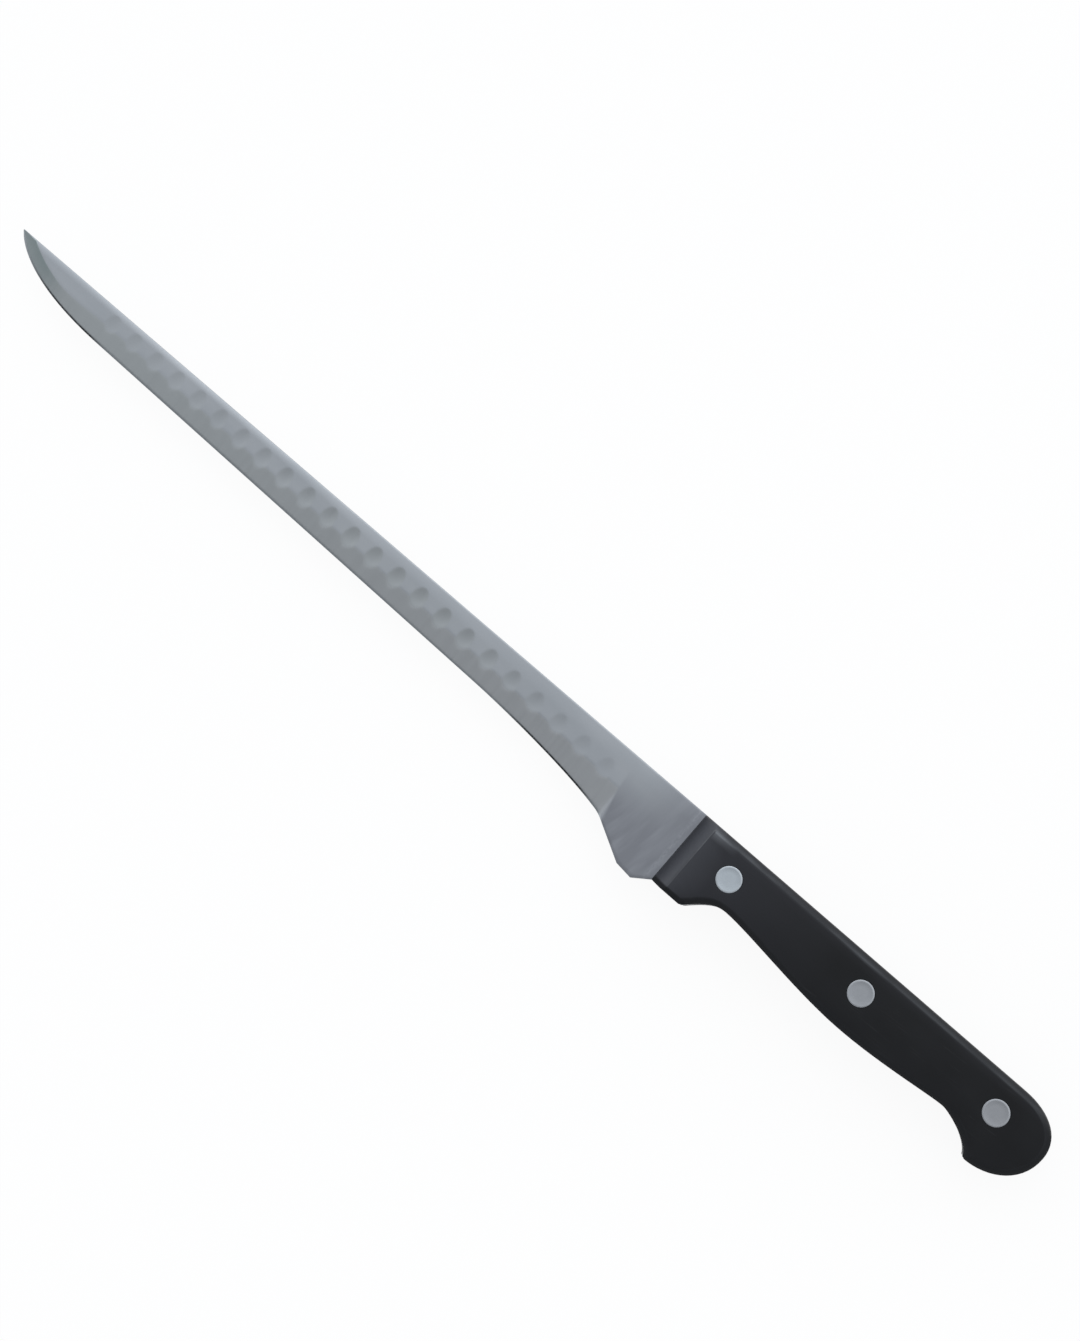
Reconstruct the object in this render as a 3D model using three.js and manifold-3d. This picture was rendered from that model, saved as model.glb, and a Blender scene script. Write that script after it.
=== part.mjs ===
// Ham knife: a long narrow dimpled blade with a full tang, two handle scales and three two-piece rivets.
// Millimetres. +X runs to the tip, +Y to the cutting edge and +Z up, with the knife lying on its right side.
// The outlines are drawn in a working frame with x = 0 at the front of the handle, y = 0 on the straight
// spine and z = 0 in the middle of the steel. The last section moves the whole to its own origin.
import * as THREE from "three";
import { mergeVertices } from "three/addons/utils/BufferGeometryUtils.js";
import Module from "manifold-3d";

const wasm = await Module();
wasm.setup();
const { clamp, lerp, mapLinear, smoothstep } = THREE.MathUtils;

// Blade: lengths along the spine, depths from the spine towards the edge.
const BLADE_LENGTH = 250;
const STEEL_THICKNESS = 2;
const TIP_THICKNESS = 1;
const TIP_LAND = 0.35;
const TIP_CURVE_LENGTH = 39;
const TIP_CURVE_DEPTH = 10.8;
const BLADE_DEPTH = 13.1;
const SWEEP_LENGTH = 45;
const SWEEP_DEPTH = 17.25;

// Heel: the thick unground stretch between the blade and the handle.
const HEEL_BACK_LENGTH = 4.5;
const HEEL_LAND_LENGTH = 4.95;
const HEEL_RAMP_LENGTH = 13.55;
const HEEL_BLEND_LENGTH = 3.9;
const HEEL_BLEND_DEPTH = 18.8;
const HEEL_CORNER_DEPTH = 24.05;
const HEEL_DEPTH = 24.55;
const PLUNGE_RUN = 4;
const PLUNGE_TOP_DEPTH = 9.2;

// Grind: a flat bevel up from the edge, and the fine sharpened bevel on it.
const BEVEL_WIDTH = 5.6;
const TIP_BEVEL_WIDTH = 3.2;
const TIP_BEVEL_LENGTH = 18;
const EDGE_BEVEL_WIDTH = 0.6;
const EDGE_SHOULDER_THICKNESS = 0.4;
const EDGE_THICKNESS = 0.06;
const LEAST_FLAT = 0.15;

// Dimples: one row of shallow ovals on each side, the two rows half a pitch apart.
const DIMPLE_PITCH = 8.33;
const DIMPLE_LENGTH = 4.5;
const DIMPLE_HEIGHT = 7.2;
const DIMPLE_SINK = 0.3;
const FIRST_DIMPLE_FROM_TIP = 39.2;
const LAST_DIMPLE_FROM_HANDLE = 27;

// Handle outline: each run is a length along the handle, each depth is measured from the spine.
const HANDLE_LENGTH = 114.4;
const HANDLE_THICKNESS = 16;
const SPINE_DROP = 0.3;
const FRONT_LAND_LENGTH = 9.7;
const FRONT_DEPTH = 21.35;
const NECK_RUN = 10.2;
const NECK_DEPTH = 15.2;
const PALM_DEPTH = 18.55;
const WAIST_RUN = 30.8;
const WAIST_DEPTH = 16.05;
const BEAK_RUN = 11.5;
const BEAK_DEPTH = 22.35;
const POMMEL_RUN = 13.9;
const POMMEL_TOP_RUN = 13;
const BUTT_DEPTH = 9.95;
const EDGE_ROUND = 1.8;
const FRONT_LIP = 0.6;
const FRONT_SLOPE_RUN = 4.9;

// Rivets: a tubed cap and a solid post, pressed together through the scales and the tang.
const RIVET_HEAD_DIAMETER = 6.75;
const RIVET_HEAD_THICKNESS = 1.6;
const RIVET_TUBE_DIAMETER = 4.4;
const RIVET_PIN_DIAMETER = 2.6;
const RIVET_END_GAP = 0.4;
const FRONT_RIVET_SETBACK = 15.3;
const REAR_RIVET_SETBACK = 15.05;
const RIVET_DEPTH = 8.5;
const REAR_RIVET_DEPTH = 8.95;

// Clearances between pieces that touch on the real knife.
const SEAT_GAP = 0.02;
const RIVET_FIT = 0.05;

// Fullness of each curve: where its two control points lie, as shares of the curve's own run and depth.
const TIP_FULLNESS = { startX: 0.018, startY: 0.1, end: 0.189 };
const SWEEP_FULLNESS = { start: 0.243, end: 0.267, endSlope: 0.4 };
const POMMEL_TOP_FULLNESS = { start: 0.54, end: 0.67 };
const POMMEL_FULLNESS = { start: 0.65, end: 0.48 };
const BEAK_FULLNESS = { startX: 0.115, startY: 0.55, end: 0.18 };
const WAIST_FULLNESS = { start: 0.125, end: 0.42 };
const PALM_FULLNESS = { start: 0.35, end: 0.2 };
const NECK_FULLNESS = { start: 0.37, endX: 0.38, endY: 0.37 };
const FRONT_FULLNESS = 0.6;

// Fineness of the facets.
const CURVE_STEPS = 9;
const ROUND_STEPS = 4;
const DIMPLE_SIDES = 12;
const DIMPLE_RINGS = [0, 0.5, 1, 1.3];
const RIVET_SIDES = 28;

// Working values.
const CUT_MARGIN = 5;
const HALF_STEEL = STEEL_THICKNESS / 2;
const HALF_HANDLE = HANDLE_THICKNESS / 2;
const HEAD_FLOOR = HALF_HANDLE - RIVET_HEAD_THICKNESS;
const HEEL_LAND_X = HEEL_BACK_LENGTH + HEEL_LAND_LENGTH;
const RAMP_TOP_X = HEEL_LAND_X + HEEL_RAMP_LENGTH;
const SWEEP_X = RAMP_TOP_X + SWEEP_LENGTH;
const BELLY_X = BLADE_LENGTH - TIP_CURVE_LENGTH;
const PLUNGE_X = RAMP_TOP_X - PLUNGE_RUN / 2;
const REAR_RIVET_X = REAR_RIVET_SETBACK - HANDLE_LENGTH;
const RIVETS = [
  { name: "front", x: -FRONT_RIVET_SETBACK, y: RIVET_DEPTH },
  { name: "middle", x: (REAR_RIVET_X - FRONT_RIVET_SETBACK) / 2, y: RIVET_DEPTH },
  { name: "rear", x: REAR_RIVET_X, y: REAR_RIVET_DEPTH },
];

// Materials.
const bladeSteel = new THREE.MeshStandardMaterial({ color: 0x9499a0, metalness: 1, roughness: 0.38 });
const blackPolymer = new THREE.MeshStandardMaterial({ color: 0x26282b, metalness: 0, roughness: 0.48 });
const rivetMetal = new THREE.MeshStandardMaterial({ color: 0xa4a8ae, metalness: 1, roughness: 0.42 });

// Turns a closed geometry into a solid that can be cut and joined.
function solidOf(geometry) {
  const source = geometry.index ? geometry.toNonIndexed() : geometry;
  const bare = new THREE.BufferGeometry();
  bare.setAttribute("position", source.getAttribute("position"));
  const merged = mergeVertices(bare);
  const kept = [];
  for (let i = 0; i < merged.index.count; i += 3) {
    const [a, b, c] = [0, 1, 2].map((corner) => merged.index.getX(i + corner));
    if (a !== b && b !== c && c !== a) kept.push(a, b, c);
  }
  const vertProperties = merged.getAttribute("position").array;
  const triVerts = new Uint32Array(kept);
  return new wasm.Manifold(new wasm.Mesh({ numProp: 3, vertProperties, triVerts }));
}

// Turns a solid back into a geometry.
function geometryOf(solid) {
  const mesh = solid.getMesh();
  const geometry = new THREE.BufferGeometry();
  geometry.setAttribute("position", new THREE.BufferAttribute(mesh.vertProperties, 3));
  geometry.setIndex(new THREE.BufferAttribute(mesh.triVerts, 1));
  geometry.computeVertexNormals();
  return geometry;
}

// The mirror image of a geometry through the middle plane of the steel, with its faces still pointing out.
function mirrored(geometry) {
  const copy = geometry.toNonIndexed().scale(1, 1, -1);
  const positions = copy.getAttribute("position");
  const corner = new THREE.Vector3();
  for (let i = 0; i < positions.count; i += 3) {
    corner.fromBufferAttribute(positions, i);
    positions.copyAt(i, positions, i + 1);
    positions.setXYZ(i + 1, ...corner);
  }
  copy.computeVertexNormals();
  return copy;
}

function namedMesh(name, geometry, material) {
  const mesh = new THREE.Mesh(geometry, material);
  mesh.name = name;
  return mesh;
}

// A body turned about Z from [radius, z] pairs that start and end on the axis.
function turned(profile, sides) {
  const points = profile.map(([radius, z]) => new THREE.Vector2(radius, z));
  return new THREE.LatheGeometry(points, sides).rotateX(Math.PI / 2);
}

// The cutting edge from the tip to the handle, with x falling all the way.
function edgePath() {
  const straightSlope = (BLADE_DEPTH - TIP_CURVE_DEPTH) / (BELLY_X - SWEEP_X);
  const rampSlope = (HEEL_CORNER_DEPTH - HEEL_BLEND_DEPTH) / (HEEL_RAMP_LENGTH - HEEL_BLEND_LENGTH);
  const tipEnd = TIP_CURVE_LENGTH * TIP_FULLNESS.end;
  const sweepStart = SWEEP_LENGTH * SWEEP_FULLNESS.start;
  const sweepEnd = SWEEP_LENGTH * SWEEP_FULLNESS.end;
  const sweepSlope = rampSlope * SWEEP_FULLNESS.endSlope;
  const blendDrop = HEEL_BLEND_DEPTH - SWEEP_DEPTH;
  const bend = (rampSlope * HEEL_BLEND_LENGTH - blendDrop) / (rampSlope - sweepSlope);
  const bendRun = clamp(bend, 0, HEEL_BLEND_LENGTH);
  const path = new THREE.Path();
  path.moveTo(BLADE_LENGTH, TIP_LAND);
  path.bezierCurveTo(
    BLADE_LENGTH - TIP_CURVE_LENGTH * TIP_FULLNESS.startX, TIP_CURVE_DEPTH * TIP_FULLNESS.startY,
    BLADE_LENGTH - tipEnd, TIP_CURVE_DEPTH - straightSlope * (TIP_CURVE_LENGTH - tipEnd),
    BELLY_X, TIP_CURVE_DEPTH,
  );
  path.lineTo(SWEEP_X, BLADE_DEPTH);
  path.bezierCurveTo(
    SWEEP_X - sweepStart, BLADE_DEPTH + straightSlope * sweepStart,
    RAMP_TOP_X + sweepEnd, SWEEP_DEPTH - sweepSlope * sweepEnd,
    RAMP_TOP_X, SWEEP_DEPTH,
  );
  path.quadraticCurveTo(
    RAMP_TOP_X - bendRun, SWEEP_DEPTH + sweepSlope * bendRun,
    RAMP_TOP_X - HEEL_BLEND_LENGTH, HEEL_BLEND_DEPTH,
  );
  path.lineTo(HEEL_LAND_X, HEEL_CORNER_DEPTH);
  path.lineTo(HEEL_BACK_LENGTH, HEEL_DEPTH);
  path.lineTo(0, FRONT_DEPTH);
  return path;
}

const edgePoints = edgePath().getPoints(CURVE_STEPS);

// Depth of the edge below the spine at a distance x from the handle.
function edgeDepthAt(x) {
  const after = edgePoints.findIndex((point) => point.x <= x);
  const [a, b] = [edgePoints[after - 1], edgePoints[after]];
  return mapLinear(x, a.x, b.x, a.y, b.y);
}

// Half the thickness of the flat above the bevel, which tapers from the heel to the tip.
function halfFlatAt(x) {
  const along = clamp((x - PLUNGE_X) / (BLADE_LENGTH - PLUNGE_X), 0, 1);
  return lerp(STEEL_THICKNESS, TIP_THICKNESS, along) / 2;
}

// Depth at which the bevel starts: a set width up from the edge, less at the tip, then straight to the plunge.
function grindDepthAt(x, edge, stretch) {
  const atTip = smoothstep(x, BELLY_X, BLADE_LENGTH - TIP_BEVEL_LENGTH);
  if (x > SWEEP_X) return edge - lerp(BEVEL_WIDTH, TIP_BEVEL_WIDTH, atTip) * stretch;
  const along = clamp((SWEEP_X - x) / SWEEP_LENGTH, 0, 1);
  return lerp(BLADE_DEPTH - BEVEL_WIDTH, PLUNGE_TOP_DEPTH, along);
}

// The cross-section of the blade at one point of the edge, as a ring of points.
function bladeSection(point, i) {
  const { x, y: edge } = point;
  const before = edgePoints[Math.max(i - 1, 0)];
  const after = edgePoints[Math.min(i + 1, edgePoints.length - 1)];
  const stretch = before.distanceTo(after) / (before.x - after.x);
  const ground = smoothstep(x, PLUNGE_X - PLUNGE_RUN / 2, PLUNGE_X + PLUNGE_RUN / 2);
  const full = halfFlatAt(x);
  const shoulder = lerp(full, EDGE_SHOULDER_THICKNESS / 2, ground);
  const apex = lerp(full, EDGE_THICKNESS / 2, ground);
  const bevel = edge - grindDepthAt(x, edge, stretch);
  const bevelHere = Math.min(bevel, edge - LEAST_FLAT);
  const flat = lerp(shoulder, full, bevelHere / bevel);
  const shoulderDepth = edge - Math.min(EDGE_BEVEL_WIDTH * stretch, bevelHere / 2);
  const near = [[0, flat], [edge - bevelHere, flat], [shoulderDepth, shoulder], [edge, apex]];
  const far = near.map(([y, z]) => [y, -z]).reverse();
  return [...near, ...far].map(([y, z]) => new THREE.Vector3(x, y, z));
}

// Joins matching rings of points into one closed geometry, with a flat fan over each end.
function loft(rings) {
  const count = rings[0].length;
  const positions = rings.flat().flatMap((point) => point.toArray());
  const corners = [];
  for (let ring = 0; ring + 1 < rings.length; ring++) {
    for (let k = 0; k < count; k++) {
      const a = ring * count + k;
      const b = ring * count + ((k + 1) % count);
      corners.push(a, b, a + count, b, b + count, a + count);
    }
  }
  const last = (rings.length - 1) * count;
  for (let k = 1; k + 1 < count; k++) {
    corners.push(0, k + 1, k, last, last + k, last + k + 1);
  }
  const geometry = new THREE.BufferGeometry();
  geometry.setAttribute("position", new THREE.Float32BufferAttribute(positions, 3));
  geometry.setIndex(corners);
  return geometry;
}

// The handle outline, shared by the tang and the scales, with its front edge at frontX.
function handleShape(frontX) {
  const landX = -FRONT_LAND_LENGTH;
  const neckX = landX - NECK_RUN;
  const beakX = POMMEL_RUN - HANDLE_LENGTH;
  const waistX = beakX + BEAK_RUN;
  const palmX = waistX + WAIST_RUN;
  const palmRun = neckX - palmX;
  const topX = POMMEL_TOP_RUN - HANDLE_LENGTH;
  const buttDrop = BUTT_DEPTH - SPINE_DROP;
  const pommelDrop = BEAK_DEPTH - BUTT_DEPTH;
  const beakDrop = BEAK_DEPTH - WAIST_DEPTH;
  const neckDrop = FRONT_DEPTH - NECK_DEPTH;
  const shape = new THREE.Shape();
  shape.moveTo(frontX, 0);
  shape.lineTo(0, 0);
  shape.lineTo(topX, SPINE_DROP);
  shape.bezierCurveTo(
    topX - POMMEL_TOP_RUN * POMMEL_TOP_FULLNESS.start, SPINE_DROP,
    -HANDLE_LENGTH, BUTT_DEPTH - buttDrop * POMMEL_TOP_FULLNESS.end,
    -HANDLE_LENGTH, BUTT_DEPTH,
  );
  shape.bezierCurveTo(
    -HANDLE_LENGTH, BUTT_DEPTH + pommelDrop * POMMEL_FULLNESS.start,
    beakX - POMMEL_RUN * POMMEL_FULLNESS.end, BEAK_DEPTH,
    beakX, BEAK_DEPTH,
  );
  shape.bezierCurveTo(
    beakX + BEAK_RUN * BEAK_FULLNESS.startX, BEAK_DEPTH - beakDrop * BEAK_FULLNESS.startY,
    waistX - BEAK_RUN * BEAK_FULLNESS.end, WAIST_DEPTH,
    waistX, WAIST_DEPTH,
  );
  shape.bezierCurveTo(
    waistX + WAIST_RUN * WAIST_FULLNESS.start, WAIST_DEPTH,
    palmX - WAIST_RUN * WAIST_FULLNESS.end, PALM_DEPTH,
    palmX, PALM_DEPTH,
  );
  shape.bezierCurveTo(
    palmX + palmRun * PALM_FULLNESS.start, PALM_DEPTH,
    neckX - palmRun * PALM_FULLNESS.end, NECK_DEPTH,
    neckX, NECK_DEPTH,
  );
  shape.bezierCurveTo(
    neckX + NECK_RUN * NECK_FULLNESS.start, NECK_DEPTH,
    landX - NECK_RUN * NECK_FULLNESS.endX, NECK_DEPTH + neckDrop * NECK_FULLNESS.endY,
    landX, FRONT_DEPTH,
  );
  shape.lineTo(frontX, FRONT_DEPTH);
  return shape;
}

// The full tang, running a little way into the heel so that the two join.
function tang() {
  const options = { depth: STEEL_THICKNESS, bevelEnabled: false, curveSegments: CURVE_STEPS };
  const geometry = new THREE.ExtrudeGeometry(handleShape(HEEL_BACK_LENGTH / 2), options);
  return geometry.translate(0, 0, -HALF_STEEL);
}

// A cutter for one dimple of the left side, tilted half way between the flat and the bevel.
function dimpleCutter(x) {
  const flat = halfFlatAt(x);
  const bevelAngle = Math.atan((flat - EDGE_SHOULDER_THICKNESS / 2) / BEVEL_WIDTH);
  const bowl = DIMPLE_RINGS.map((radius) => [radius, DIMPLE_SINK * (radius * radius - 1)]);
  const geometry = turned([...bowl, [0, CUT_MARGIN]], DIMPLE_SIDES);
  geometry.scale(DIMPLE_LENGTH / 2, DIMPLE_HEIGHT / 2, 1).rotateX(-bevelAngle / 2);
  return geometry.translate(x, edgeDepthAt(x) / 2, flat);
}

// Both rows of dimples, the right side's half a pitch behind the left side's.
function dimpleCutters() {
  const first = BLADE_LENGTH - FIRST_DIMPLE_FROM_TIP;
  const cutters = [];
  for (let x = first; x >= LAST_DIMPLE_FROM_HANDLE; x -= DIMPLE_PITCH) {
    cutters.push(dimpleCutter(x));
  }
  for (let x = first - DIMPLE_PITCH / 2; x >= LAST_DIMPLE_FROM_HANDLE; x -= DIMPLE_PITCH) {
    cutters.push(mirrored(dimpleCutter(x)));
  }
  return cutters;
}

// The blade, heel and tang in one piece of steel.
function blade() {
  const holeRadius = RIVET_TUBE_DIAMETER / 2 + RIVET_FIT;
  const holeProfile = [
    [0, -STEEL_THICKNESS],
    [holeRadius, -STEEL_THICKNESS],
    [holeRadius, STEEL_THICKNESS],
    [0, STEEL_THICKNESS],
  ];
  const holes = RIVETS.map(({ x, y }) => turned(holeProfile, RIVET_SIDES).translate(x, y, 0));
  let solid = solidOf(loft(edgePoints.map(bladeSection))).add(solidOf(tang()));
  for (const cutter of [...dimpleCutters(), ...holes]) solid = solid.subtract(solidOf(cutter));
  return geometryOf(solid);
}

// The sloping front of the left scale, as all the space in front of a slope that bulges a little.
function frontSlopeCutter() {
  const slopeFoot = HALF_STEEL + FRONT_LIP;
  const rise = HALF_HANDLE - slopeFoot;
  const bulgeRun = FRONT_FULLNESS * FRONT_SLOPE_RUN;
  const width = FRONT_DEPTH + 2 * CUT_MARGIN;
  const profile = new THREE.Shape();
  profile.moveTo(CUT_MARGIN, slopeFoot - CUT_MARGIN * rise / bulgeRun);
  profile.lineTo(0, slopeFoot);
  profile.quadraticCurveTo(-bulgeRun / 2, slopeFoot + rise / 2, -FRONT_SLOPE_RUN, HALF_HANDLE);
  profile.lineTo(-FRONT_SLOPE_RUN, HALF_HANDLE + CUT_MARGIN);
  profile.lineTo(CUT_MARGIN, HALF_HANDLE + CUT_MARGIN);
  const options = { depth: width, bevelEnabled: false, curveSegments: ROUND_STEPS };
  const geometry = new THREE.ExtrudeGeometry(profile, options);
  return geometry.rotateX(Math.PI / 2).translate(0, width - CUT_MARGIN, 0);
}

// The left scale: the handle outline with its outer edges rounded, bored for the rivets.
function leftScale() {
  const blank = new THREE.ExtrudeGeometry(handleShape(0), {
    depth: HANDLE_THICKNESS - 2 * EDGE_ROUND,
    bevelThickness: EDGE_ROUND,
    bevelSize: EDGE_ROUND,
    bevelOffset: -EDGE_ROUND,
    bevelSegments: ROUND_STEPS,
    curveSegments: CURVE_STEPS,
  });
  blank.translate(0, 0, EDGE_ROUND - HALF_HANDLE);
  const otherSide = new THREE.BoxGeometry(2 * HANDLE_LENGTH, 2 * HANDLE_LENGTH, HANDLE_THICKNESS);
  otherSide.translate(-HANDLE_LENGTH / 2, 0, HALF_STEEL + SEAT_GAP - HALF_HANDLE);
  const tubeRadius = RIVET_TUBE_DIAMETER / 2 + RIVET_FIT;
  const headRadius = RIVET_HEAD_DIAMETER / 2 + RIVET_FIT;
  const boreProfile = [
    [0, 0],
    [tubeRadius, 0],
    [tubeRadius, HEAD_FLOOR - SEAT_GAP],
    [headRadius, HEAD_FLOOR - SEAT_GAP],
    [headRadius, HANDLE_THICKNESS],
    [0, HANDLE_THICKNESS],
  ];
  const bores = RIVETS.map(({ x, y }) => turned(boreProfile, RIVET_SIDES).translate(x, y, 0));
  let solid = solidOf(blank);
  for (const cutter of [otherSide, frontSlopeCutter(), ...bores]) solid = solid.subtract(solidOf(cutter));
  return geometryOf(solid);
}

// The left half of a rivet: a head on a tube that is open at its end.
function rivetCap() {
  const boreRadius = RIVET_PIN_DIAMETER / 2 + RIVET_FIT;
  const tubeEnd = RIVET_END_GAP - HEAD_FLOOR;
  return turned([
    [0, HEAD_FLOOR],
    [boreRadius, HEAD_FLOOR],
    [boreRadius, tubeEnd],
    [RIVET_TUBE_DIAMETER / 2, tubeEnd],
    [RIVET_TUBE_DIAMETER / 2, HEAD_FLOOR],
    [RIVET_HEAD_DIAMETER / 2, HEAD_FLOOR],
    [RIVET_HEAD_DIAMETER / 2, HALF_HANDLE],
    [0, HALF_HANDLE],
  ], RIVET_SIDES);
}

// The right half of a rivet: a head on a solid pin that fills the tube.
function rivetPost() {
  const pinEnd = HEAD_FLOOR - RIVET_END_GAP;
  return turned([
    [0, -HALF_HANDLE],
    [RIVET_HEAD_DIAMETER / 2, -HALF_HANDLE],
    [RIVET_HEAD_DIAMETER / 2, -HEAD_FLOOR],
    [RIVET_PIN_DIAMETER / 2, -HEAD_FLOOR],
    [RIVET_PIN_DIAMETER / 2, pinEnd],
    [0, pinEnd],
  ], RIVET_SIDES);
}

// The assembly, with its origin under the middle of its outline, on the surface that it lies on.
const pieces = new THREE.Group();
const scale = leftScale();
pieces.add(namedMesh("blade", blade(), bladeSteel));
pieces.add(namedMesh("left_scale", scale, blackPolymer));
pieces.add(namedMesh("right_scale", mirrored(scale), blackPolymer));
for (const { name, x, y } of RIVETS) {
  const rivet = new THREE.Group();
  rivet.add(namedMesh(`${name}_rivet_cap`, rivetCap(), rivetMetal));
  rivet.add(namedMesh(`${name}_rivet_post`, rivetPost(), rivetMetal));
  rivet.position.set(x, y, 0);
  pieces.add(rivet);
}
const deepest = Math.max(HEEL_DEPTH, FRONT_DEPTH, PALM_DEPTH, BEAK_DEPTH);
pieces.position.set((HANDLE_LENGTH - BLADE_LENGTH) / 2, -deepest / 2, HALF_HANDLE);

const knife = new THREE.Group();
knife.add(pieces);

export default knife;
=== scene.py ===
import math

import bmesh
import bpy
import numpy as np
from mathutils import Matrix, Vector


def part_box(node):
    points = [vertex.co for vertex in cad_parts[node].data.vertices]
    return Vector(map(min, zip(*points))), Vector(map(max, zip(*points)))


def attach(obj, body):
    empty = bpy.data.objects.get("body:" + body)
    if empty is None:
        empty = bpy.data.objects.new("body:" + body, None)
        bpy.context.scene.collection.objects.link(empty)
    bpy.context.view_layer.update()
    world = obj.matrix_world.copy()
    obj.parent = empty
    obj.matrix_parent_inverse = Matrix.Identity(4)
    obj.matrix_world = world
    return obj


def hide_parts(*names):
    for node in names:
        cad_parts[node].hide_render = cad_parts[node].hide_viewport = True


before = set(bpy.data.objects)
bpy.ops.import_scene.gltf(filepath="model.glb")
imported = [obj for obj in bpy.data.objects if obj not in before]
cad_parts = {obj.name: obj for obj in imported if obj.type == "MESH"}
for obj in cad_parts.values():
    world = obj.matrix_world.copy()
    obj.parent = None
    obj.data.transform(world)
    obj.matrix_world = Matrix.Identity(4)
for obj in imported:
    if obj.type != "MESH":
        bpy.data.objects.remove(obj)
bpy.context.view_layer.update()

MM = 0.001

# Places and overall sizes from the frame. The pieces are drawn in a working frame with x = 0 at the front
# of the handle, y = 0 on the spine and z = 0 in the middle of the steel.
blade_low, blade_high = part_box("blade")
scale_low, scale_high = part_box("left_scale")
cap_low, cap_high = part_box("front_rivet_cap")
ORIGIN = Vector((scale_high.x, blade_low.y, (blade_low.z + blade_high.z) / 2))
BLADE_LENGTH = blade_high.x - ORIGIN.x
HANDLE_LENGTH = ORIGIN.x - scale_low.x
HEEL_DEPTH = blade_high.y - ORIGIN.y
HALF_STEEL = blade_high.z - ORIGIN.z
HALF_HANDLE = scale_high.z - ORIGIN.z
SEAT_Z = scale_low.z - ORIGIN.z
HEAD_RADIUS = (cap_high.x - cap_low.x) / 2

# Blade edge: lengths along the spine, depths from the spine.
TIP_LAND = 0.35 * MM
TIP_CURVE_LENGTH = 39 * MM
TIP_CURVE_DEPTH = 10.8 * MM
BLADE_DEPTH = 13.1 * MM
SWEEP_LENGTH = 45 * MM
SWEEP_DEPTH = 17.25 * MM
HEEL_BACK_LENGTH = 4.5 * MM
HEEL_LAND_LENGTH = 4.95 * MM
HEEL_RAMP_LENGTH = 13.55 * MM
HEEL_BLEND_LENGTH = 3.9 * MM
HEEL_BLEND_DEPTH = 18.8 * MM
HEEL_CORNER_DEPTH = 24.05 * MM

# Grind, rounding and dimples of the blade.
TIP_THICKNESS = 1 * MM
BEVEL_WIDTH = 5.6 * MM
TIP_BEVEL_WIDTH = 3.8 * MM
TIP_BEVEL_LENGTH = 18 * MM
BEVEL_SOFTNESS = 0.07 * MM
EDGE_BEVEL_WIDTH = 0.6 * MM
EDGE_SHOULDER_THICKNESS = 0.4 * MM
EDGE_THICKNESS = 0.06 * MM
LEAST_FLAT = 0.15 * MM
SPINE_ROUND = 0.2 * MM
SPINE_CROWN = 0.13 * MM
SPINE_CROWN_WIDTH = 4.2 * MM
TIP_SPINE_CROWN = 0.31 * MM
TIP_SPINE_CROWN_WIDTH = 1.9 * MM
CROWN_CHANGE_START = 50 * MM
CROWN_CHANGE_END = 180 * MM
MOST_CROWN_SHARE = 0.5
TANG_ROUND = 0.02 * MM
ROUND_FADE_LENGTH = 2 * MM
LEAST_PLUNGE_RUN = 0.9 * MM
MOST_PLUNGE_RUN = 3.2 * MM
PLUNGE_SPREAD = 0.42
PLUNGE_LEAN = 0.13
PLUNGE_TOP_DEPTH = 9.2 * MM
PLUNGE_SETBACK = 1.6 * MM
DIMPLE_PITCH = 8.33 * MM
DIMPLE_LENGTH = 4.9 * MM
DIMPLE_HEIGHT = 8.2 * MM
DIMPLE_SINK = 0.28 * MM
TIP_DIMPLE_SINK = 0.125 * MM
TIP_DIMPLE_FADE_LENGTH = 100 * MM
HEEL_DIMPLE_SINK = 0.14 * MM
HEEL_DIMPLE_FADE_LENGTH = 55 * MM
DIMPLE_RISE = 0.25 * MM
DIMPLE_CRISPNESS = 1.25
DIMPLE_BLEND = 4
DIMPLE_RIM_START = -0.01 * MM
DIMPLE_RIM_END = 0.03 * MM
FIRST_DIMPLE_FROM_TIP = 39.2 * MM
LAST_DIMPLE_FROM_HANDLE = 27 * MM

# Handle outline and the form of its scales.
SPINE_DROP = 0.3 * MM
FRONT_LAND_LENGTH = 9.7 * MM
FRONT_DEPTH = 21.35 * MM
NECK_RUN = 10.2 * MM
NECK_DEPTH = 15.2 * MM
PALM_DEPTH = 18.55 * MM
WAIST_RUN = 30.8 * MM
WAIST_DEPTH = 16.05 * MM
BEAK_RUN = 11.5 * MM
BEAK_DEPTH = 22.35 * MM
POMMEL_RUN = 13.9 * MM
POMMEL_TOP_RUN = 13 * MM
BUTT_DEPTH = 9.95 * MM
EDGE_ROUND = 1.8 * MM
SEAT_CHAMFER = 0.1 * MM
CORNER_TRIM = 0.4 * MM
LEAST_TRIM = 0.12 * MM
FRONT_LIP = 0.6 * MM
FRONT_SLOPE_RUN = 4.9 * MM

# Fullness of each curve: where its control points lie, as shares of the curve's own run and depth.
TIP_FULLNESS = {"start_x": 0.018, "start_y": 0.1, "end": 0.189}
SWEEP_FULLNESS = {"start": 0.243, "end": 0.267, "end_slope": 0.4}
POMMEL_TOP_FULLNESS = {"start": 0.54, "end": 0.67}
POMMEL_FULLNESS = {"start": 0.65, "end": 0.48}
BEAK_FULLNESS = {"start_x": 0.115, "start_y": 0.55, "end": 0.18}
WAIST_FULLNESS = {"start": 0.125, "end": 0.42}
PALM_FULLNESS = {"start": 0.35, "end": 0.2}
NECK_FULLNESS = {"start": 0.37, "end_x": 0.38, "end_y": 0.37}
FRONT_FULLNESS = 0.6

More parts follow.
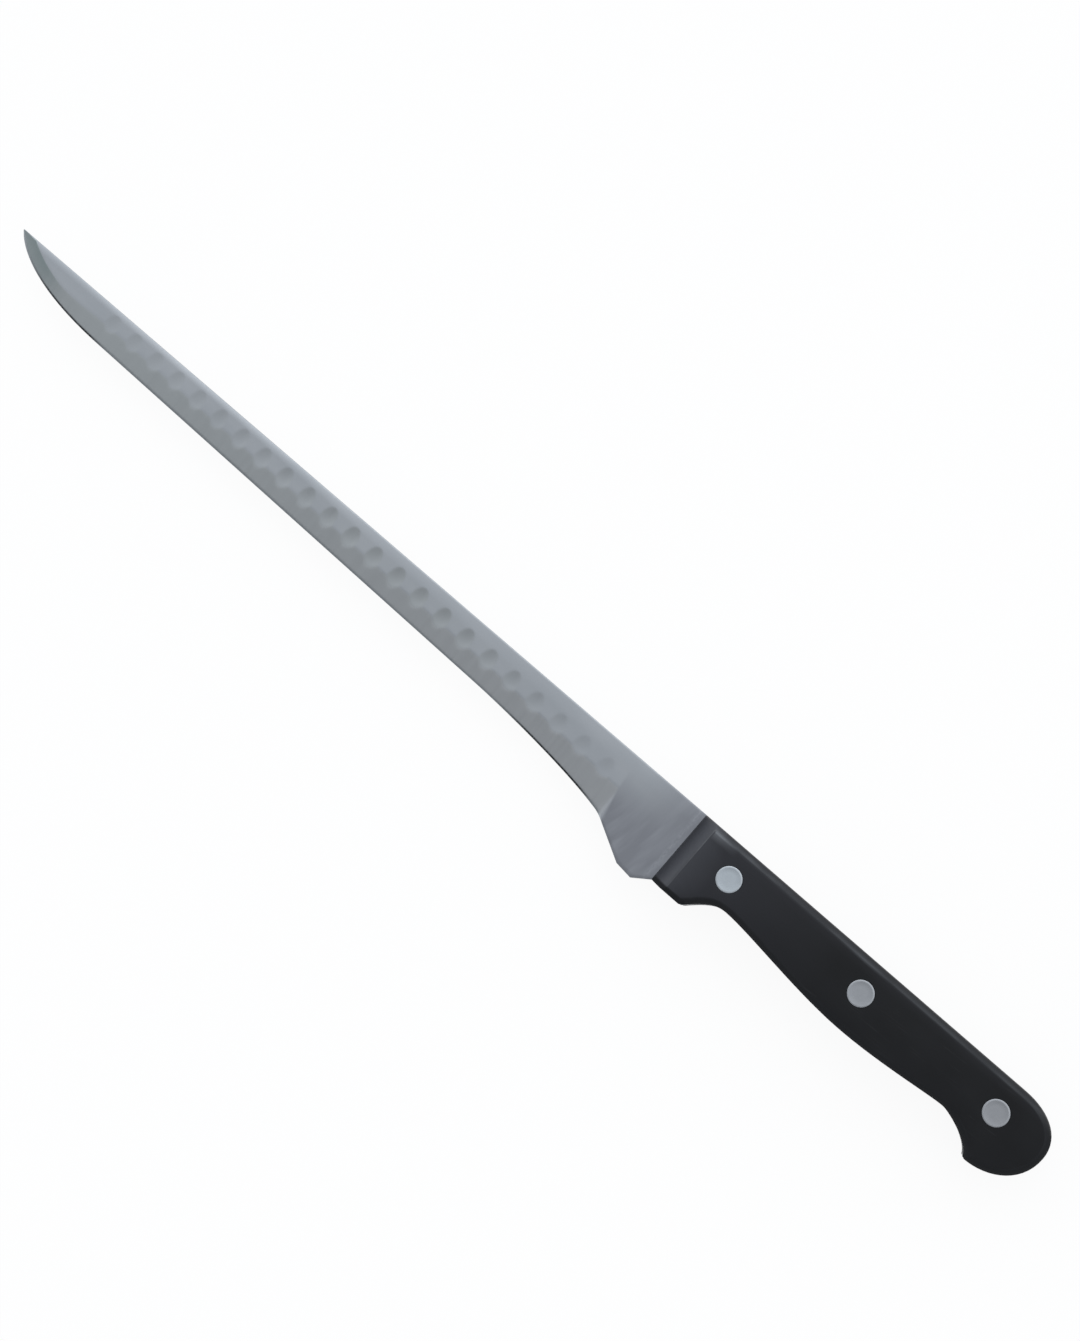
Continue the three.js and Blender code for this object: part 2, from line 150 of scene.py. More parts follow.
# Rivets and the holes that they fill.
HEAD_THICKNESS = 1.6 * MM
HEAD_CHAMFER = 0.14 * MM
HEAD_RIM_WIDTH = 0.5 * MM
HEAD_DISH = 0.03 * MM
DISH_FLAT_SHARE = 0.5
DISH_EDGE_SHARE = 0.8
RIM_FLAT_SHARE = 0.7
CHAMFER_BREAK_SHARE = 0.3
TUBE_RADIUS = 2.2 * MM
PIN_RADIUS = 1.3 * MM
RIVET_END_GAP = 0.4 * MM
RIVET_FIT = 0.05 * MM
BORE_CHAMFER = 0.12 * MM

# Fineness of the meshes.
COLUMN_STEP = 0.36 * MM
TIP_COLUMN_STEP = 0.12 * MM
FINE_TIP_LENGTH = 6 * MM
SPINE_ROWS = 4
FLAT_ROWS = 26
BEVEL_ROWS = 15
EDGE_ROWS = 4
CURVE_STEPS = 200
OUTLINE_STEPS = 15
TOP_STEPS = 24
FRONT_STEPS = 6
CORNER_STEPS = 4
ROUND_STEPS = 9
SLOPE_STEPS = 4
CIRCLE_STEPS = 64
SHARP_ANGLE = math.radians(34)

# Working values.
HEEL_LAND_X = HEEL_BACK_LENGTH + HEEL_LAND_LENGTH
RAMP_TOP_X = HEEL_LAND_X + HEEL_RAMP_LENGTH
SWEEP_X = RAMP_TOP_X + SWEEP_LENGTH
BELLY_X = BLADE_LENGTH - TIP_CURVE_LENGTH
PLUNGE_X = RAMP_TOP_X - PLUNGE_SETBACK
HEAD_FLOOR = HALF_HANDLE - HEAD_THICKNESS
RIVET_NAMES = ("front", "middle", "rear")
# How light each rivet head is coloured, front to rear: the front one lightest.
RIVET_LIGHTNESS = (1, 0.25, 0.15)

# Where the blade's finish changes, and where shade is painted on it near the handle, along the edge and in
# the dimples.
# A stretch along it rises between its first two places and falls between its last two.
# The heel is painted darker close to the handle as its shade, giving way lower down to the unground heel's
# own darker finish.
HEEL_SHADE_LENGTH = 20 * MM
HEEL_SHADE_TO_FINISH_START_DEPTH = 2 * MM
HEEL_SHADE_TO_FINISH_FULL_DEPTH = 15 * MM
FACET_START_X = BELLY_X + 15 * MM
FACET_FULL_X = BELLY_X + 28 * MM
FACET_LOSS_TO_EDGE = 0.4
# Painted shade along the cutting edge at the belly and the sweep.
BELLY_EDGE_SHADE = (BELLY_X - 4 * MM, BELLY_X + 4 * MM, BELLY_X + 18 * MM, BELLY_X + 35 * MM)
SWEEP_EDGE_SHADE = (RAMP_TOP_X, RAMP_TOP_X + 7 * MM, RAMP_TOP_X + 24 * MM, RAMP_TOP_X + 40 * MM)
# Painted shade in the hollows of the dimples, stronger over the middle of the blade.
STRONG_DIMPLE_SHADE_STRETCH = (50 * MM, 90 * MM, 120 * MM, 160 * MM)
DIMPLE_SHADE = 0.3
STRONG_DIMPLE_SHADE = 0.75
DIMPLE_SHADE_START_X = 25 * MM
DIMPLE_SHADE_FULL_X = 60 * MM

# Where the scales are dull, where a highlight is painted on their front slope, and where a highlight is
# painted along their edges, which are also worn smooth.
HIGHLIGHT_SHARPNESS = 6
DULL_SHARPNESS = 0.5
TOP_DULLNESS = 0.15
FOOT_DULLNESS = 0.25
# How strongly a highlight is painted on the front slope, and how far up the slope it rises.
FRONT_SLOPE_HIGHLIGHT = 1
FRONT_SLOPE_HIGHLIGHT_RISE = 6 * MM
FRONT_BLEND = 1 * MM
DULL_SIDE_START_DEPTH = 2 * MM
DULL_SIDE_FULL_DEPTH = 6 * MM
BELLY_HIGHLIGHT_AND_WEAR = 0.25
BELLY_HIGHLIGHT_START_DEPTH = 7 * MM
BELLY_HIGHLIGHT_FULL_DEPTH = 13 * MM


def rivet_centre(name):
    """Where a rivet stands in the working frame, from its node's box."""
    low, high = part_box(f"{name}_rivet_cap")
    return (low + high).xy / 2 - ORIGIN.xy


RIVET_CENTRES = [rivet_centre(name) for name in RIVET_NAMES]


def smoothstep(value, start, end):
    share = np.clip((value - start) / (end - start), 0, 1)
    return share * share * (3 - 2 * share)


def mix(a, b, share):
    return a + (b - a) * share


def plateau(value, stretch):
    """1 in the middle of a stretch given by four values, easing to 0 at both of its ends."""
    rise_start, rise_end, fall_start, fall_end = stretch
    return smoothstep(value, rise_start, rise_end) * (1 - smoothstep(value, fall_start, fall_end))


def as_column(values):
    """Values along the blade, one to a row, to meet values across it."""
    return values[:, None]


def bezier(points, steps):
    """Points along a Bezier curve of any degree, without its first point."""
    curve = []
    for step in range(1, steps + 1):
        level = [Vector(point) for point in points]
        while len(level) > 1:
            level = [a.lerp(b, step / steps) for a, b in zip(level, level[1:])]
        curve.append(level[0])
    return curve


def edge_path():
    """The cutting edge from the handle to the tip, as two arrays."""
    straight_slope = (BLADE_DEPTH - TIP_CURVE_DEPTH) / (BELLY_X - SWEEP_X)
    ramp_slope = (HEEL_CORNER_DEPTH - HEEL_BLEND_DEPTH) / (HEEL_RAMP_LENGTH - HEEL_BLEND_LENGTH)
    sweep_slope = SWEEP_FULLNESS["end_slope"] * ramp_slope
    sweep_start = SWEEP_FULLNESS["start"] * SWEEP_LENGTH
    sweep_end = SWEEP_FULLNESS["end"] * SWEEP_LENGTH
    tip_start = TIP_FULLNESS["start_x"] * TIP_CURVE_LENGTH
    tip_end = TIP_FULLNESS["end"] * TIP_CURVE_LENGTH
    blend_drop = HEEL_BLEND_DEPTH - SWEEP_DEPTH
    bend = (ramp_slope * HEEL_BLEND_LENGTH - blend_drop) / (ramp_slope - sweep_slope)
    tip = (BLADE_LENGTH, TIP_LAND)
    belly = (BELLY_X, TIP_CURVE_DEPTH)
    sweep_top = (SWEEP_X, BLADE_DEPTH)
    ramp_top = (RAMP_TOP_X, SWEEP_DEPTH)
    path = [Vector(tip)]
    path += bezier([
        tip,
        (BLADE_LENGTH - tip_start, TIP_FULLNESS["start_y"] * TIP_CURVE_DEPTH),
        (BLADE_LENGTH - tip_end, TIP_CURVE_DEPTH - straight_slope * (TIP_CURVE_LENGTH - tip_end)),
        belly,
    ], CURVE_STEPS)
    path.append(Vector(sweep_top))
    path += bezier([
        sweep_top,
        (SWEEP_X - sweep_start, BLADE_DEPTH + straight_slope * sweep_start),
        (RAMP_TOP_X + sweep_end, SWEEP_DEPTH - sweep_slope * sweep_end),
        ramp_top,
    ], CURVE_STEPS)
    path += bezier([
        ramp_top,
        (RAMP_TOP_X - bend, SWEEP_DEPTH + sweep_slope * bend),
        (RAMP_TOP_X - HEEL_BLEND_LENGTH, HEEL_BLEND_DEPTH),
    ], CURVE_STEPS)
    path.append(Vector((HEEL_LAND_X, HEEL_CORNER_DEPTH)))
    path.append(Vector((HEEL_BACK_LENGTH, HEEL_DEPTH)))
    path.append(Vector((0, FRONT_DEPTH)))
    points = np.array(path[::-1])
    return points[:, 0], points[:, 1]


EDGE_X, EDGE_Y = edge_path()


def blade_columns():
    """Stations along the blade from the handle to the tip, on the heel's corners and closer at the tip."""
    fine_x = BLADE_LENGTH - FINE_TIP_LENGTH
    corners = [0, HEEL_BACK_LENGTH, HEEL_LAND_X, fine_x]
    stations = []
    for start, end in zip(corners, corners[1:]):
        count = math.ceil((end - start) / COLUMN_STEP)
        stations.append(np.linspace(start, end, count, endpoint=False))
    stations.append(np.linspace(fine_x, BLADE_LENGTH, math.ceil(FINE_TIP_LENGTH / TIP_COLUMN_STEP)))
    return np.concatenate(stations)


def half_flat(x):
    """Half the thickness of the flat above the bevel, which tapers from the heel to the tip."""
    along = np.clip((x - PLUNGE_X) / (BLADE_LENGTH - PLUNGE_X), 0, 1)
    return mix(HALF_STEEL, TIP_THICKNESS / 2, along)


def grind_depth(x, edge, stretch):
    """Depth at which the bevel starts: close to the edge at the tip, and straight to the plunge."""
    at_tip = smoothstep(x, BELLY_X, BLADE_LENGTH - TIP_BEVEL_LENGTH)
    along_sweep = np.clip((SWEEP_X - x) / SWEEP_LENGTH, 0, 1)
    under_sweep = mix(BLADE_DEPTH - BEVEL_WIDTH, PLUNGE_TOP_DEPTH, along_sweep)
    beyond_sweep = edge - mix(BEVEL_WIDTH, TIP_BEVEL_WIDTH, at_tip) * stretch
    return np.where(x < SWEEP_X, under_sweep, beyond_sweep)


def blade_rows():
    """Shares across each zone of the blade: the spine's rounding, the flat, the bevel and the edge."""
    angles = np.linspace(0, math.pi / 2, SPINE_ROWS)
    flat = np.linspace(0, 1, FLAT_ROWS)[1:]
    bevel = np.linspace(0, 1, BEVEL_ROWS)[1:]
    edge = np.linspace(0, 1, EDGE_ROWS)[1:]
    return angles, flat, bevel, edge


def spine_crown(x, y, thickness):
    """How far the flat falls away close to the spine: wide and soft at the heel, narrow at the tip."""
    at_tip = smoothstep(x, CROWN_CHANGE_START, CROWN_CHANGE_END)
    crown = mix(SPINE_CROWN, TIP_SPINE_CROWN, at_tip)
    width = mix(SPINE_CROWN_WIDTH, TIP_SPINE_CROWN_WIDTH, at_tip)
    share = np.clip(1 - y / width, 0, 1)
    return np.minimum(crown, MOST_CROWN_SHARE * thickness) * share * share


def soft_least(a, b, width):
    """The lesser of two values, with the corner between them rounded over the given width."""
    share = np.clip(0.5 + (b - a) / (2 * width), 0, 1)
    return mix(b, a, share) - width * share * (1 - share)


def blade_surface(x):
    """Depth and half thickness over the blade before its dimples, and how far each point is ground."""
    edge = np.interp(x, EDGE_X, EDGE_Y)
    stretch = np.hypot(1, np.gradient(edge, x))
    full = half_flat(x)
    bevel = edge - grind_depth(x, edge, stretch)
    bevel_here = np.minimum(bevel, edge - LEAST_FLAT)
    shoulder = np.full_like(x, EDGE_SHOULDER_THICKNESS / 2)
    apex = np.full_like(x, EDGE_THICKNESS / 2)
    flat = mix(shoulder, full, bevel_here / bevel)
    grind = edge - bevel_here
    shoulder_depth = edge - np.minimum(EDGE_BEVEL_WIDTH * stretch, bevel_here / 2)
    fade = smoothstep(x, 0, ROUND_FADE_LENGTH)
    rounding = np.minimum(mix(TANG_ROUND, SPINE_ROUND, fade), grind / 2)
    angles, flat_shares, bevel_shares, edge_shares = blade_rows()
    sines, cosines = np.sin(angles), np.cos(angles)
    turn = edge_shares * math.pi / 2

    spine_y = as_column(rounding) * (1 - cosines)
    flat_y = mix(as_column(rounding), as_column(grind), flat_shares)
    bevel_y = mix(as_column(grind), as_column(shoulder_depth), bevel_shares)
    thin = as_column(fade * flat)
    spine_z = as_column(rounding) * (sines - 1) - spine_crown(as_column(x), spine_y, thin)
    flat_z = -spine_crown(as_column(x), flat_y, thin)
    slope = as_column((flat - shoulder) / (shoulder_depth - grind))
    bevel_z = as_column(shoulder) + slope * (as_column(shoulder_depth) - np.hstack([flat_y, bevel_y]))
    softened = soft_least(as_column(flat), bevel_z, BEVEL_SOFTNESS)
    flat_count = len(flat_shares)
    ground_y = np.hstack([
        spine_y,
        flat_y,
        bevel_y,
        mix(as_column(shoulder_depth), as_column(edge), edge_shares),
    ])
    ground_z = np.hstack([
        as_column(flat) + spine_z,
        softened[:, :flat_count] + flat_z,
        softened[:, flat_count:],
        mix(softened[:, -1:], as_column(apex), edge_shares),
    ])
    heel_y = np.hstack([
        spine_y,
        flat_y,
        mix(as_column(grind), as_column(edge - rounding), bevel_shares),
        as_column(edge) + as_column(rounding) * (np.sin(turn) - 1),
    ])
    heel_z = np.hstack([
        as_column(full) + spine_z,
        as_column(full) + flat_z,
        as_column(full) + np.zeros((len(x), len(bevel_shares))),
        as_column(full) + as_column(rounding) * (np.cos(turn) - 1),
    ])
    below = ground_y - PLUNGE_TOP_DEPTH
    plunge = PLUNGE_X - PLUNGE_LEAN * below
    half_run = np.clip(PLUNGE_SPREAD * below, LEAST_PLUNGE_RUN, MOST_PLUNGE_RUN) / 2
    ground = smoothstep(as_column(x), plunge - half_run, plunge + half_run)
    return mix(heel_y, ground_y, ground), mix(heel_z, ground_z, ground), ground


def dimple_stations(offset):
    """The places of one row of dimples along the blade."""
    first = BLADE_LENGTH - FIRST_DIMPLE_FROM_TIP - offset
    return np.arange(first, LAST_DIMPLE_FROM_HANDLE, -DIMPLE_PITCH)


def with_dimples(x, y, z, offset):
    """The half thickness with a row of bowls, and where a bowl is deeper than the bevel."""
    sunk = z.copy()
    inside = np.zeros_like(z)
    for centre in dimple_stations(offset):
        near = np.abs(x - centre) < DIMPLE_LENGTH
        flat = as_column(half_flat(x[near]))
        edge = np.interp(centre, EDGE_X, EDGE_Y)
        depth = grind_depth(centre, edge, 1) - DIMPLE_RISE
        at_tip = smoothstep(centre, BELLY_X - TIP_DIMPLE_FADE_LENGTH, BELLY_X)
        along = as_column(x[near]) - centre
        across = y[near] - depth
        reach = (2 * along / DIMPLE_LENGTH) ** 2 + (2 * across / DIMPLE_HEIGHT) ** 2
        from_last = centre - LAST_DIMPLE_FROM_HANDLE
        at_heel = 1 - smoothstep(from_last, 0, HEEL_DIMPLE_FADE_LENGTH)
        sink = mix(mix(DIMPLE_SINK, TIP_DIMPLE_SINK, at_tip), HEEL_DIMPLE_SINK, at_heel)
        bowl = sink * np.clip(1 - reach, 0, 1) ** DIMPLE_CRISPNESS
        ground = flat - sunk[near]
        sunk[near] = flat - (ground ** DIMPLE_BLEND + bowl ** DIMPLE_BLEND) ** (1 / DIMPLE_BLEND)
        deeper = smoothstep(bowl - ground, DIMPLE_RIM_START, DIMPLE_RIM_END)
        inside[near] = np.maximum(inside[near], deeper)
    return sunk, inside


def vertex_grid(bm, x, y, z):
    """Vertices for a grid of heights, as a list of columns."""
    return [
        [bm.verts.new((x[i], y[i, j], z[i, j])) for j in range(y.shape[1])]
        for i in range(len(x))
    ]


def bridge(bm, first, second):
    """Quads between two rows of vertices of the same length."""
    for a, b, c, d in zip(first, first[1:], second[1:], second):
        bm.faces.new((a, b, c, d))


def new_bmesh(*layers):
    """An empty mesh whose vertices carry the named values, for the materials."""
    bm = bmesh.new()
    for name in layers:
        bm.verts.layers.float.new(name)
    return bm


def paint(bm, name, grid, values):
    """Stores a value on each vertex of a grid."""
    layer = bm.verts.layers.float[name]
    for column, column_values in zip(grid, values):
        for vertex, value in zip(column, column_values):
            vertex[layer] = value


def circle(centre, radius):
    """Points round a circle in the plane of the blade."""
    turns = [math.tau * step / CIRCLE_STEPS for step in range(CIRCLE_STEPS)]
    return [centre + radius * Vector((math.cos(turn), math.sin(turn))) for turn in turns]


def ring_of_vertices(bm, points, z):
    return [bm.verts.new((point.x, point.y, z)) for point in points]


def close_ring(ring):
    return ring + ring[:1]


def chain_edges(bm, chain):
    """The edges along a chain of vertices, made where they are missing."""
    return [bm.edges.get(pair) or bm.edges.new(pair) for pair in zip(chain, chain[1:])]


def fill_with_holes(bm, outline, holes, normal):
    """A flat face inside a closed ring of vertices, with round holes left open."""
    edges = chain_edges(bm, close_ring(outline))
    for hole in holes:
        edges += chain_edges(bm, close_ring(hole))
    bmesh.ops.triangle_fill(bm, edges=edges, use_beauty=True, normal=normal)


def handle_outline():
    """The handle's outline from the spine round the butt to the front, and its sharp corners."""
    land_x = -FRONT_LAND_LENGTH
    neck_x = land_x - NECK_RUN
    beak_x = POMMEL_RUN - HANDLE_LENGTH
    waist_x = beak_x + BEAK_RUN
    palm_x = waist_x + WAIST_RUN
    palm_run = neck_x - palm_x
    top_x = POMMEL_TOP_RUN - HANDLE_LENGTH
    butt_drop = BUTT_DEPTH - SPINE_DROP
    pommel_drop = BEAK_DEPTH - BUTT_DEPTH
    beak_drop = BEAK_DEPTH - WAIST_DEPTH
    neck_drop = FRONT_DEPTH - NECK_DEPTH
    top = Vector((top_x, SPINE_DROP))
    butt = (-HANDLE_LENGTH, BUTT_DEPTH)
    beak = (beak_x, BEAK_DEPTH)
    waist = (waist_x, WAIST_DEPTH)
    palm = (palm_x, PALM_DEPTH)
    neck = (neck_x, NECK_DEPTH)
    land = (land_x, FRONT_DEPTH)
    front = Vector((0, 0))
    first_step = math.ceil(TOP_STEPS * FRONT_SLOPE_RUN / -top_x)
    outline = [front.lerp(top, step / TOP_STEPS) for step in range(first_step, TOP_STEPS)]
    outline.append(top)
    outline += bezier([
        top,
        (top_x - POMMEL_TOP_FULLNESS["start"] * POMMEL_TOP_RUN, SPINE_DROP),
        (-HANDLE_LENGTH, BUTT_DEPTH - POMMEL_TOP_FULLNESS["end"] * butt_drop),
        butt,
    ], OUTLINE_STEPS)
    outline += bezier([
        butt,
        (-HANDLE_LENGTH, BUTT_DEPTH + POMMEL_FULLNESS["start"] * pommel_drop),
        (beak_x - POMMEL_FULLNESS["end"] * POMMEL_RUN, BEAK_DEPTH),
        beak,
    ], OUTLINE_STEPS)
    beak_index = len(outline) - 1
    outline += bezier([
        beak,
        (beak_x + BEAK_FULLNESS["start_x"] * BEAK_RUN, BEAK_DEPTH - BEAK_FULLNESS["start_y"] * beak_drop),
        (waist_x - BEAK_FULLNESS["end"] * BEAK_RUN, WAIST_DEPTH),
        waist,
    ], OUTLINE_STEPS)
    outline += bezier([
        waist,
        (waist_x + WAIST_FULLNESS["start"] * WAIST_RUN, WAIST_DEPTH),
        (palm_x - WAIST_FULLNESS["end"] * WAIST_RUN, PALM_DEPTH),
        palm,
    ], OUTLINE_STEPS)
    outline += bezier([
        palm,
        (palm_x + PALM_FULLNESS["start"] * palm_run, PALM_DEPTH),
        (neck_x - PALM_FULLNESS["end"] * palm_run, NECK_DEPTH),
        neck,
    ], OUTLINE_STEPS)
    outline += bezier([
        neck,
        (neck_x + NECK_FULLNESS["start"] * NECK_RUN, NECK_DEPTH),
        (land_x - NECK_FULLNESS["end_x"] * NECK_RUN, NECK_DEPTH + NECK_FULLNESS["end_y"] * neck_drop),
        land,
    ], OUTLINE_STEPS)
    land_index = len(outline) - 1
    return outline, {beak_index, land_index}


OUTLINE, OUTLINE_CORNERS = handle_outline()


def inward(before, point, after):
    """The direction and stretch that moves a corner inwards by one unit on both of its sides."""
    first = (point - before).normalized()
    second = (after - point).normalized()
    normal_a = Vector((first.y, -first.x))
    normal_b = Vector((second.y, -second.x))
    bisector = (normal_a + normal_b).normalized()
    return bisector / bisector.dot(normal_a)


def inset_outline(inset):
    """The handle's outline moved in by a distance, without its front."""
    ends = [Vector((0, 0))] + OUTLINE + [Vector((0, FRONT_DEPTH))]
    moved = []
    for before, point, after in zip(ends, ends[1:], ends[2:]):
        moved.append(point + inset * inward(before, point, after))
    return moved


def rounded_corner(before, corner, after, trim):
    """A small curve in place of a sharp corner."""
    start = corner + trim * (before - corner).normalized()
    end = corner + trim * (after - corner).normalized()
    return [start] + bezier([start, corner, end], CORNER_STEPS)


def handle_ring(inset, front_x):
    """One closed ring round a scale: the outline moved in, its front at front_x and its corners eased."""
    trim = mix(CORNER_TRIM, LEAST_TRIM, min(inset / EDGE_ROUND, 1))
    body = inset_outline(inset)
    top = Vector((front_x, inset))
    bottom = Vector((front_x, FRONT_DEPTH - inset))
    ring = rounded_corner(bottom, top, body[0], trim)
    around = [top] + body + [bottom]
    for index, point in enumerate(body):
        if index in OUTLINE_CORNERS:
            ring += rounded_corner(around[index], point, around[index + 2], trim)
        else:
            ring.append(point)
    ring += rounded_corner(body[-1], bottom, top, trim)
    start, end = ring[-1], ring[0]
    ring += [start.lerp(end, step / FRONT_STEPS) for step in range(1, FRONT_STEPS)]
    return ring


def front_at(z):
    """Where the front of a scale is at a height: an upright lip, then a slope that bulges a little."""
    foot = HALF_STEEL + FRONT_LIP
    share = max(z - foot, 0) / (HALF_HANDLE - foot)
    return -FRONT_SLOPE_RUN * mix(share * share, share, FRONT_FULLNESS)


def scale_levels():
    """Height, inset, painted highlight with worn smoothness, and dullness of each ring of the left scale,
    from its seat to its face.
    """
    foot = HALF_STEEL + FRONT_LIP
    round_z = HALF_HANDLE - EDGE_ROUND
    levels = [(SEAT_Z, SEAT_CHAMFER, 0, 1), (SEAT_Z + SEAT_CHAMFER, 0, 0, 1)]
    levels += [(mix(foot, round_z, step / SLOPE_STEPS), 0, 0, 1) for step in range(SLOPE_STEPS)]
    for step in range(ROUND_STEPS + 1):
        turn = math.pi / 2 * step / ROUND_STEPS
        # The painted highlight peaks where the rounding meets the face.
        highlight_and_wear = math.sin(turn) ** HIGHLIGHT_SHARPNESS if step < ROUND_STEPS else 0
        dull = math.cos(turn) ** DULL_SHARPNESS if step < ROUND_STEPS else 0
        z = round_z + EDGE_ROUND * math.sin(turn)
        inset = EDGE_ROUND * (1 - math.cos(turn))
        levels.append((z, inset, highlight_and_wear, dull))
    return levels


def bore_rings(bm, centre):
    """The stepped hole for one rivet half, from the face down to the seat."""
    head = HEAD_RADIUS + RIVET_FIT
    tube = TUBE_RADIUS + RIVET_FIT
    steps = [
        (head + BORE_CHAMFER, HALF_HANDLE),
        (head, HALF_HANDLE - BORE_CHAMFER),
        (head, HEAD_FLOOR),
        (tube, HEAD_FLOOR),
        (tube, SEAT_Z),
    ]
    rings = [ring_of_vertices(bm, circle(centre, radius), z) for radius, z in steps]
    for upper, lower in zip(rings, rings[1:]):
        bridge(bm, close_ring(lower), close_ring(upper))
    return rings[0], rings[-1]


def dullness(point, side):
    """How dull a scale is on its sides and at the foot of its front, or below 0 how strongly a highlight is
    painted on its front slope.
    """
    foot = HALF_STEEL + FRONT_LIP
    on_side = smoothstep(point.y, DULL_SIDE_START_DEPTH, DULL_SIDE_FULL_DEPTH)
    side_dullness = side * mix(TOP_DULLNESS, 1, on_side)
    front_dullness_and_highlight = mix(FOOT_DULLNESS, -FRONT_SLOPE_HIGHLIGHT, smoothstep(point.z, foot, foot + FRONT_SLOPE_HIGHLIGHT_RISE))
    behind_front = smoothstep(-point.x, FRONT_SLOPE_RUN - FRONT_BLEND, FRONT_SLOPE_RUN + FRONT_BLEND)
    return mix(front_dullness_and_highlight, side_dullness, behind_front)


def highlight_and_wear_share(point):
    """How much of its painted highlight and worn smoothness an edge of a scale shows: less along the belly
    than along the spine.
    """
    return mix(1, BELLY_HIGHLIGHT_AND_WEAR, smoothstep(point.y, BELLY_HIGHLIGHT_START_DEPTH, BELLY_HIGHLIGHT_FULL_DEPTH))


def scale_mesh():
    """The left scale, with rounded edges, a sloping front and three stepped bores."""
    bm = new_bmesh("highlight_and_wear", "dull")
    levels = scale_levels()
    rings = []
    for z, inset, *_ in levels:
        front = front_at(z) - (inset if z == SEAT_Z else 0)
        rings.append(ring_of_vertices(bm, handle_ring(inset, front), z))
    for lower, upper in zip(rings, rings[1:]):
        bridge(bm, close_ring(upper), close_ring(lower))
    mouths, feet = zip(*(bore_rings(bm, centre) for centre in RIVET_CENTRES))
    fill_with_holes(bm, rings[-1], mouths, Vector((0, 0, 1)))
    fill_with_holes(bm, rings[0], feet, Vector((0, 0, -1)))
    for ring, (_, _, highlight_and_wear, dull) in zip(rings, levels):
        paint(bm, "highlight_and_wear", [ring], [[highlight_and_wear * highlight_and_wear_share(vertex.co) for vertex in ring]])
        paint(bm, "dull", [ring], [[dullness(vertex.co, dull) for vertex in ring]])
    return bm


def tang(bm, left_column, right_column):
    """The full tang behind the blade's last column of vertices, bored for the rivets."""
    sides = []
    for column, z in ((left_column, HALF_STEEL), (right_column, -HALF_STEEL)):
        rim = ring_of_vertices(bm, OUTLINE, z)
        holes = [ring_of_vertices(bm, circle(c, TUBE_RADIUS + RIVET_FIT), z) for c in RIVET_CENTRES]
        fill_with_holes(bm, column[::-1] + rim, holes, Vector((0, 0, math.copysign(1, z))))
        sides.append((column[:1] + rim + column[-1:], holes))
    (left_rim, left_holes), (right_rim, right_holes) = sides
    bridge(bm, right_rim, left_rim)
    for left_hole, right_hole in zip(left_holes, right_holes):
        bridge(bm, close_ring(left_hole), close_ring(right_hole))


def paint_blade(bm, x, y, ground, sides):
    """Stores where the blade's finish changes and where shade is painted on it, for its material."""
    bevel_start = SPINE_ROWS + FLAT_ROWS - 1
    edge_start = bevel_start + BEVEL_ROWS - 1
    row = np.arange(y.shape[1])
    station = as_column(x)
    on_bevel = np.where(row >= bevel_start, 1.0, 0.0)
    on_edge = np.where(row >= edge_start, 1.0, 0.0)
    across_bevel = np.clip((row - bevel_start) / BEVEL_ROWS, 0, 1)
    # Painted shade from the handle on the upper heel, giving way below to the unground heel's finish.
    handle_shade = 1 - smoothstep(station, 0, HEEL_SHADE_LENGTH)
    heel = mix(handle_shade, 1 - ground, smoothstep(y, HEEL_SHADE_TO_FINISH_START_DEPTH, HEEL_SHADE_TO_FINISH_FULL_DEPTH))
    facet = on_bevel * (1 - FACET_LOSS_TO_EDGE * across_bevel)
    facet = facet * smoothstep(station, FACET_START_X, FACET_FULL_X)
    # Painted shade along the edge at the belly and the sweep.
    painted_edge_shade = on_edge * np.maximum(plateau(station, BELLY_EDGE_SHADE), plateau(station, SWEEP_EDGE_SHADE))
    # Painted shade in the dimples.
    dimple_shade = mix(DIMPLE_SHADE, STRONG_DIMPLE_SHADE, plateau(station, STRONG_DIMPLE_SHADE_STRETCH))
    dimple_shade = dimple_shade * smoothstep(station, DIMPLE_SHADE_START_X, DIMPLE_SHADE_FULL_X)
    for grid, inside in sides:
        paint(bm, "bevel", grid, on_bevel * ground * (1 - inside))
        paint(bm, "tip", grid, facet)
        paint(bm, "painted_edge_shade", grid, painted_edge_shade)
        paint(bm, "edge", grid, on_edge * ground)
        paint(bm, "heel", grid, heel)
        paint(bm, "painted_dimple_shade", grid, inside * dimple_shade)


def blade_mesh():
    """The blade, heel and tang in one piece."""
    bm = new_bmesh("bevel", "edge", "heel", "tip", "painted_edge_shade", "painted_dimple_shade")
    x = blade_columns()
    y, z, ground = blade_surface(x)
    left_z, left_inside = with_dimples(x, y, z, 0)
    right_z, right_inside = with_dimples(x, y, z, DIMPLE_PITCH / 2)
    left = vertex_grid(bm, x, y, left_z)
    right = vertex_grid(bm, x, y, -right_z)
    for here, ahead in zip(left, left[1:]):
        bridge(bm, ahead, here)
    for here, ahead in zip(right, right[1:]):
        bridge(bm, here, ahead)
    bridge(bm, [column[0] for column in left], [column[0] for column in right])
    bridge(bm, [column[-1] for column in right], [column[-1] for column in left])
    bridge(bm, right[-1], left[-1])
    tang(bm, left[0], right[0])
    paint_blade(bm, x, y, ground, ((left, left_inside), (right, right_inside)))
    return bm


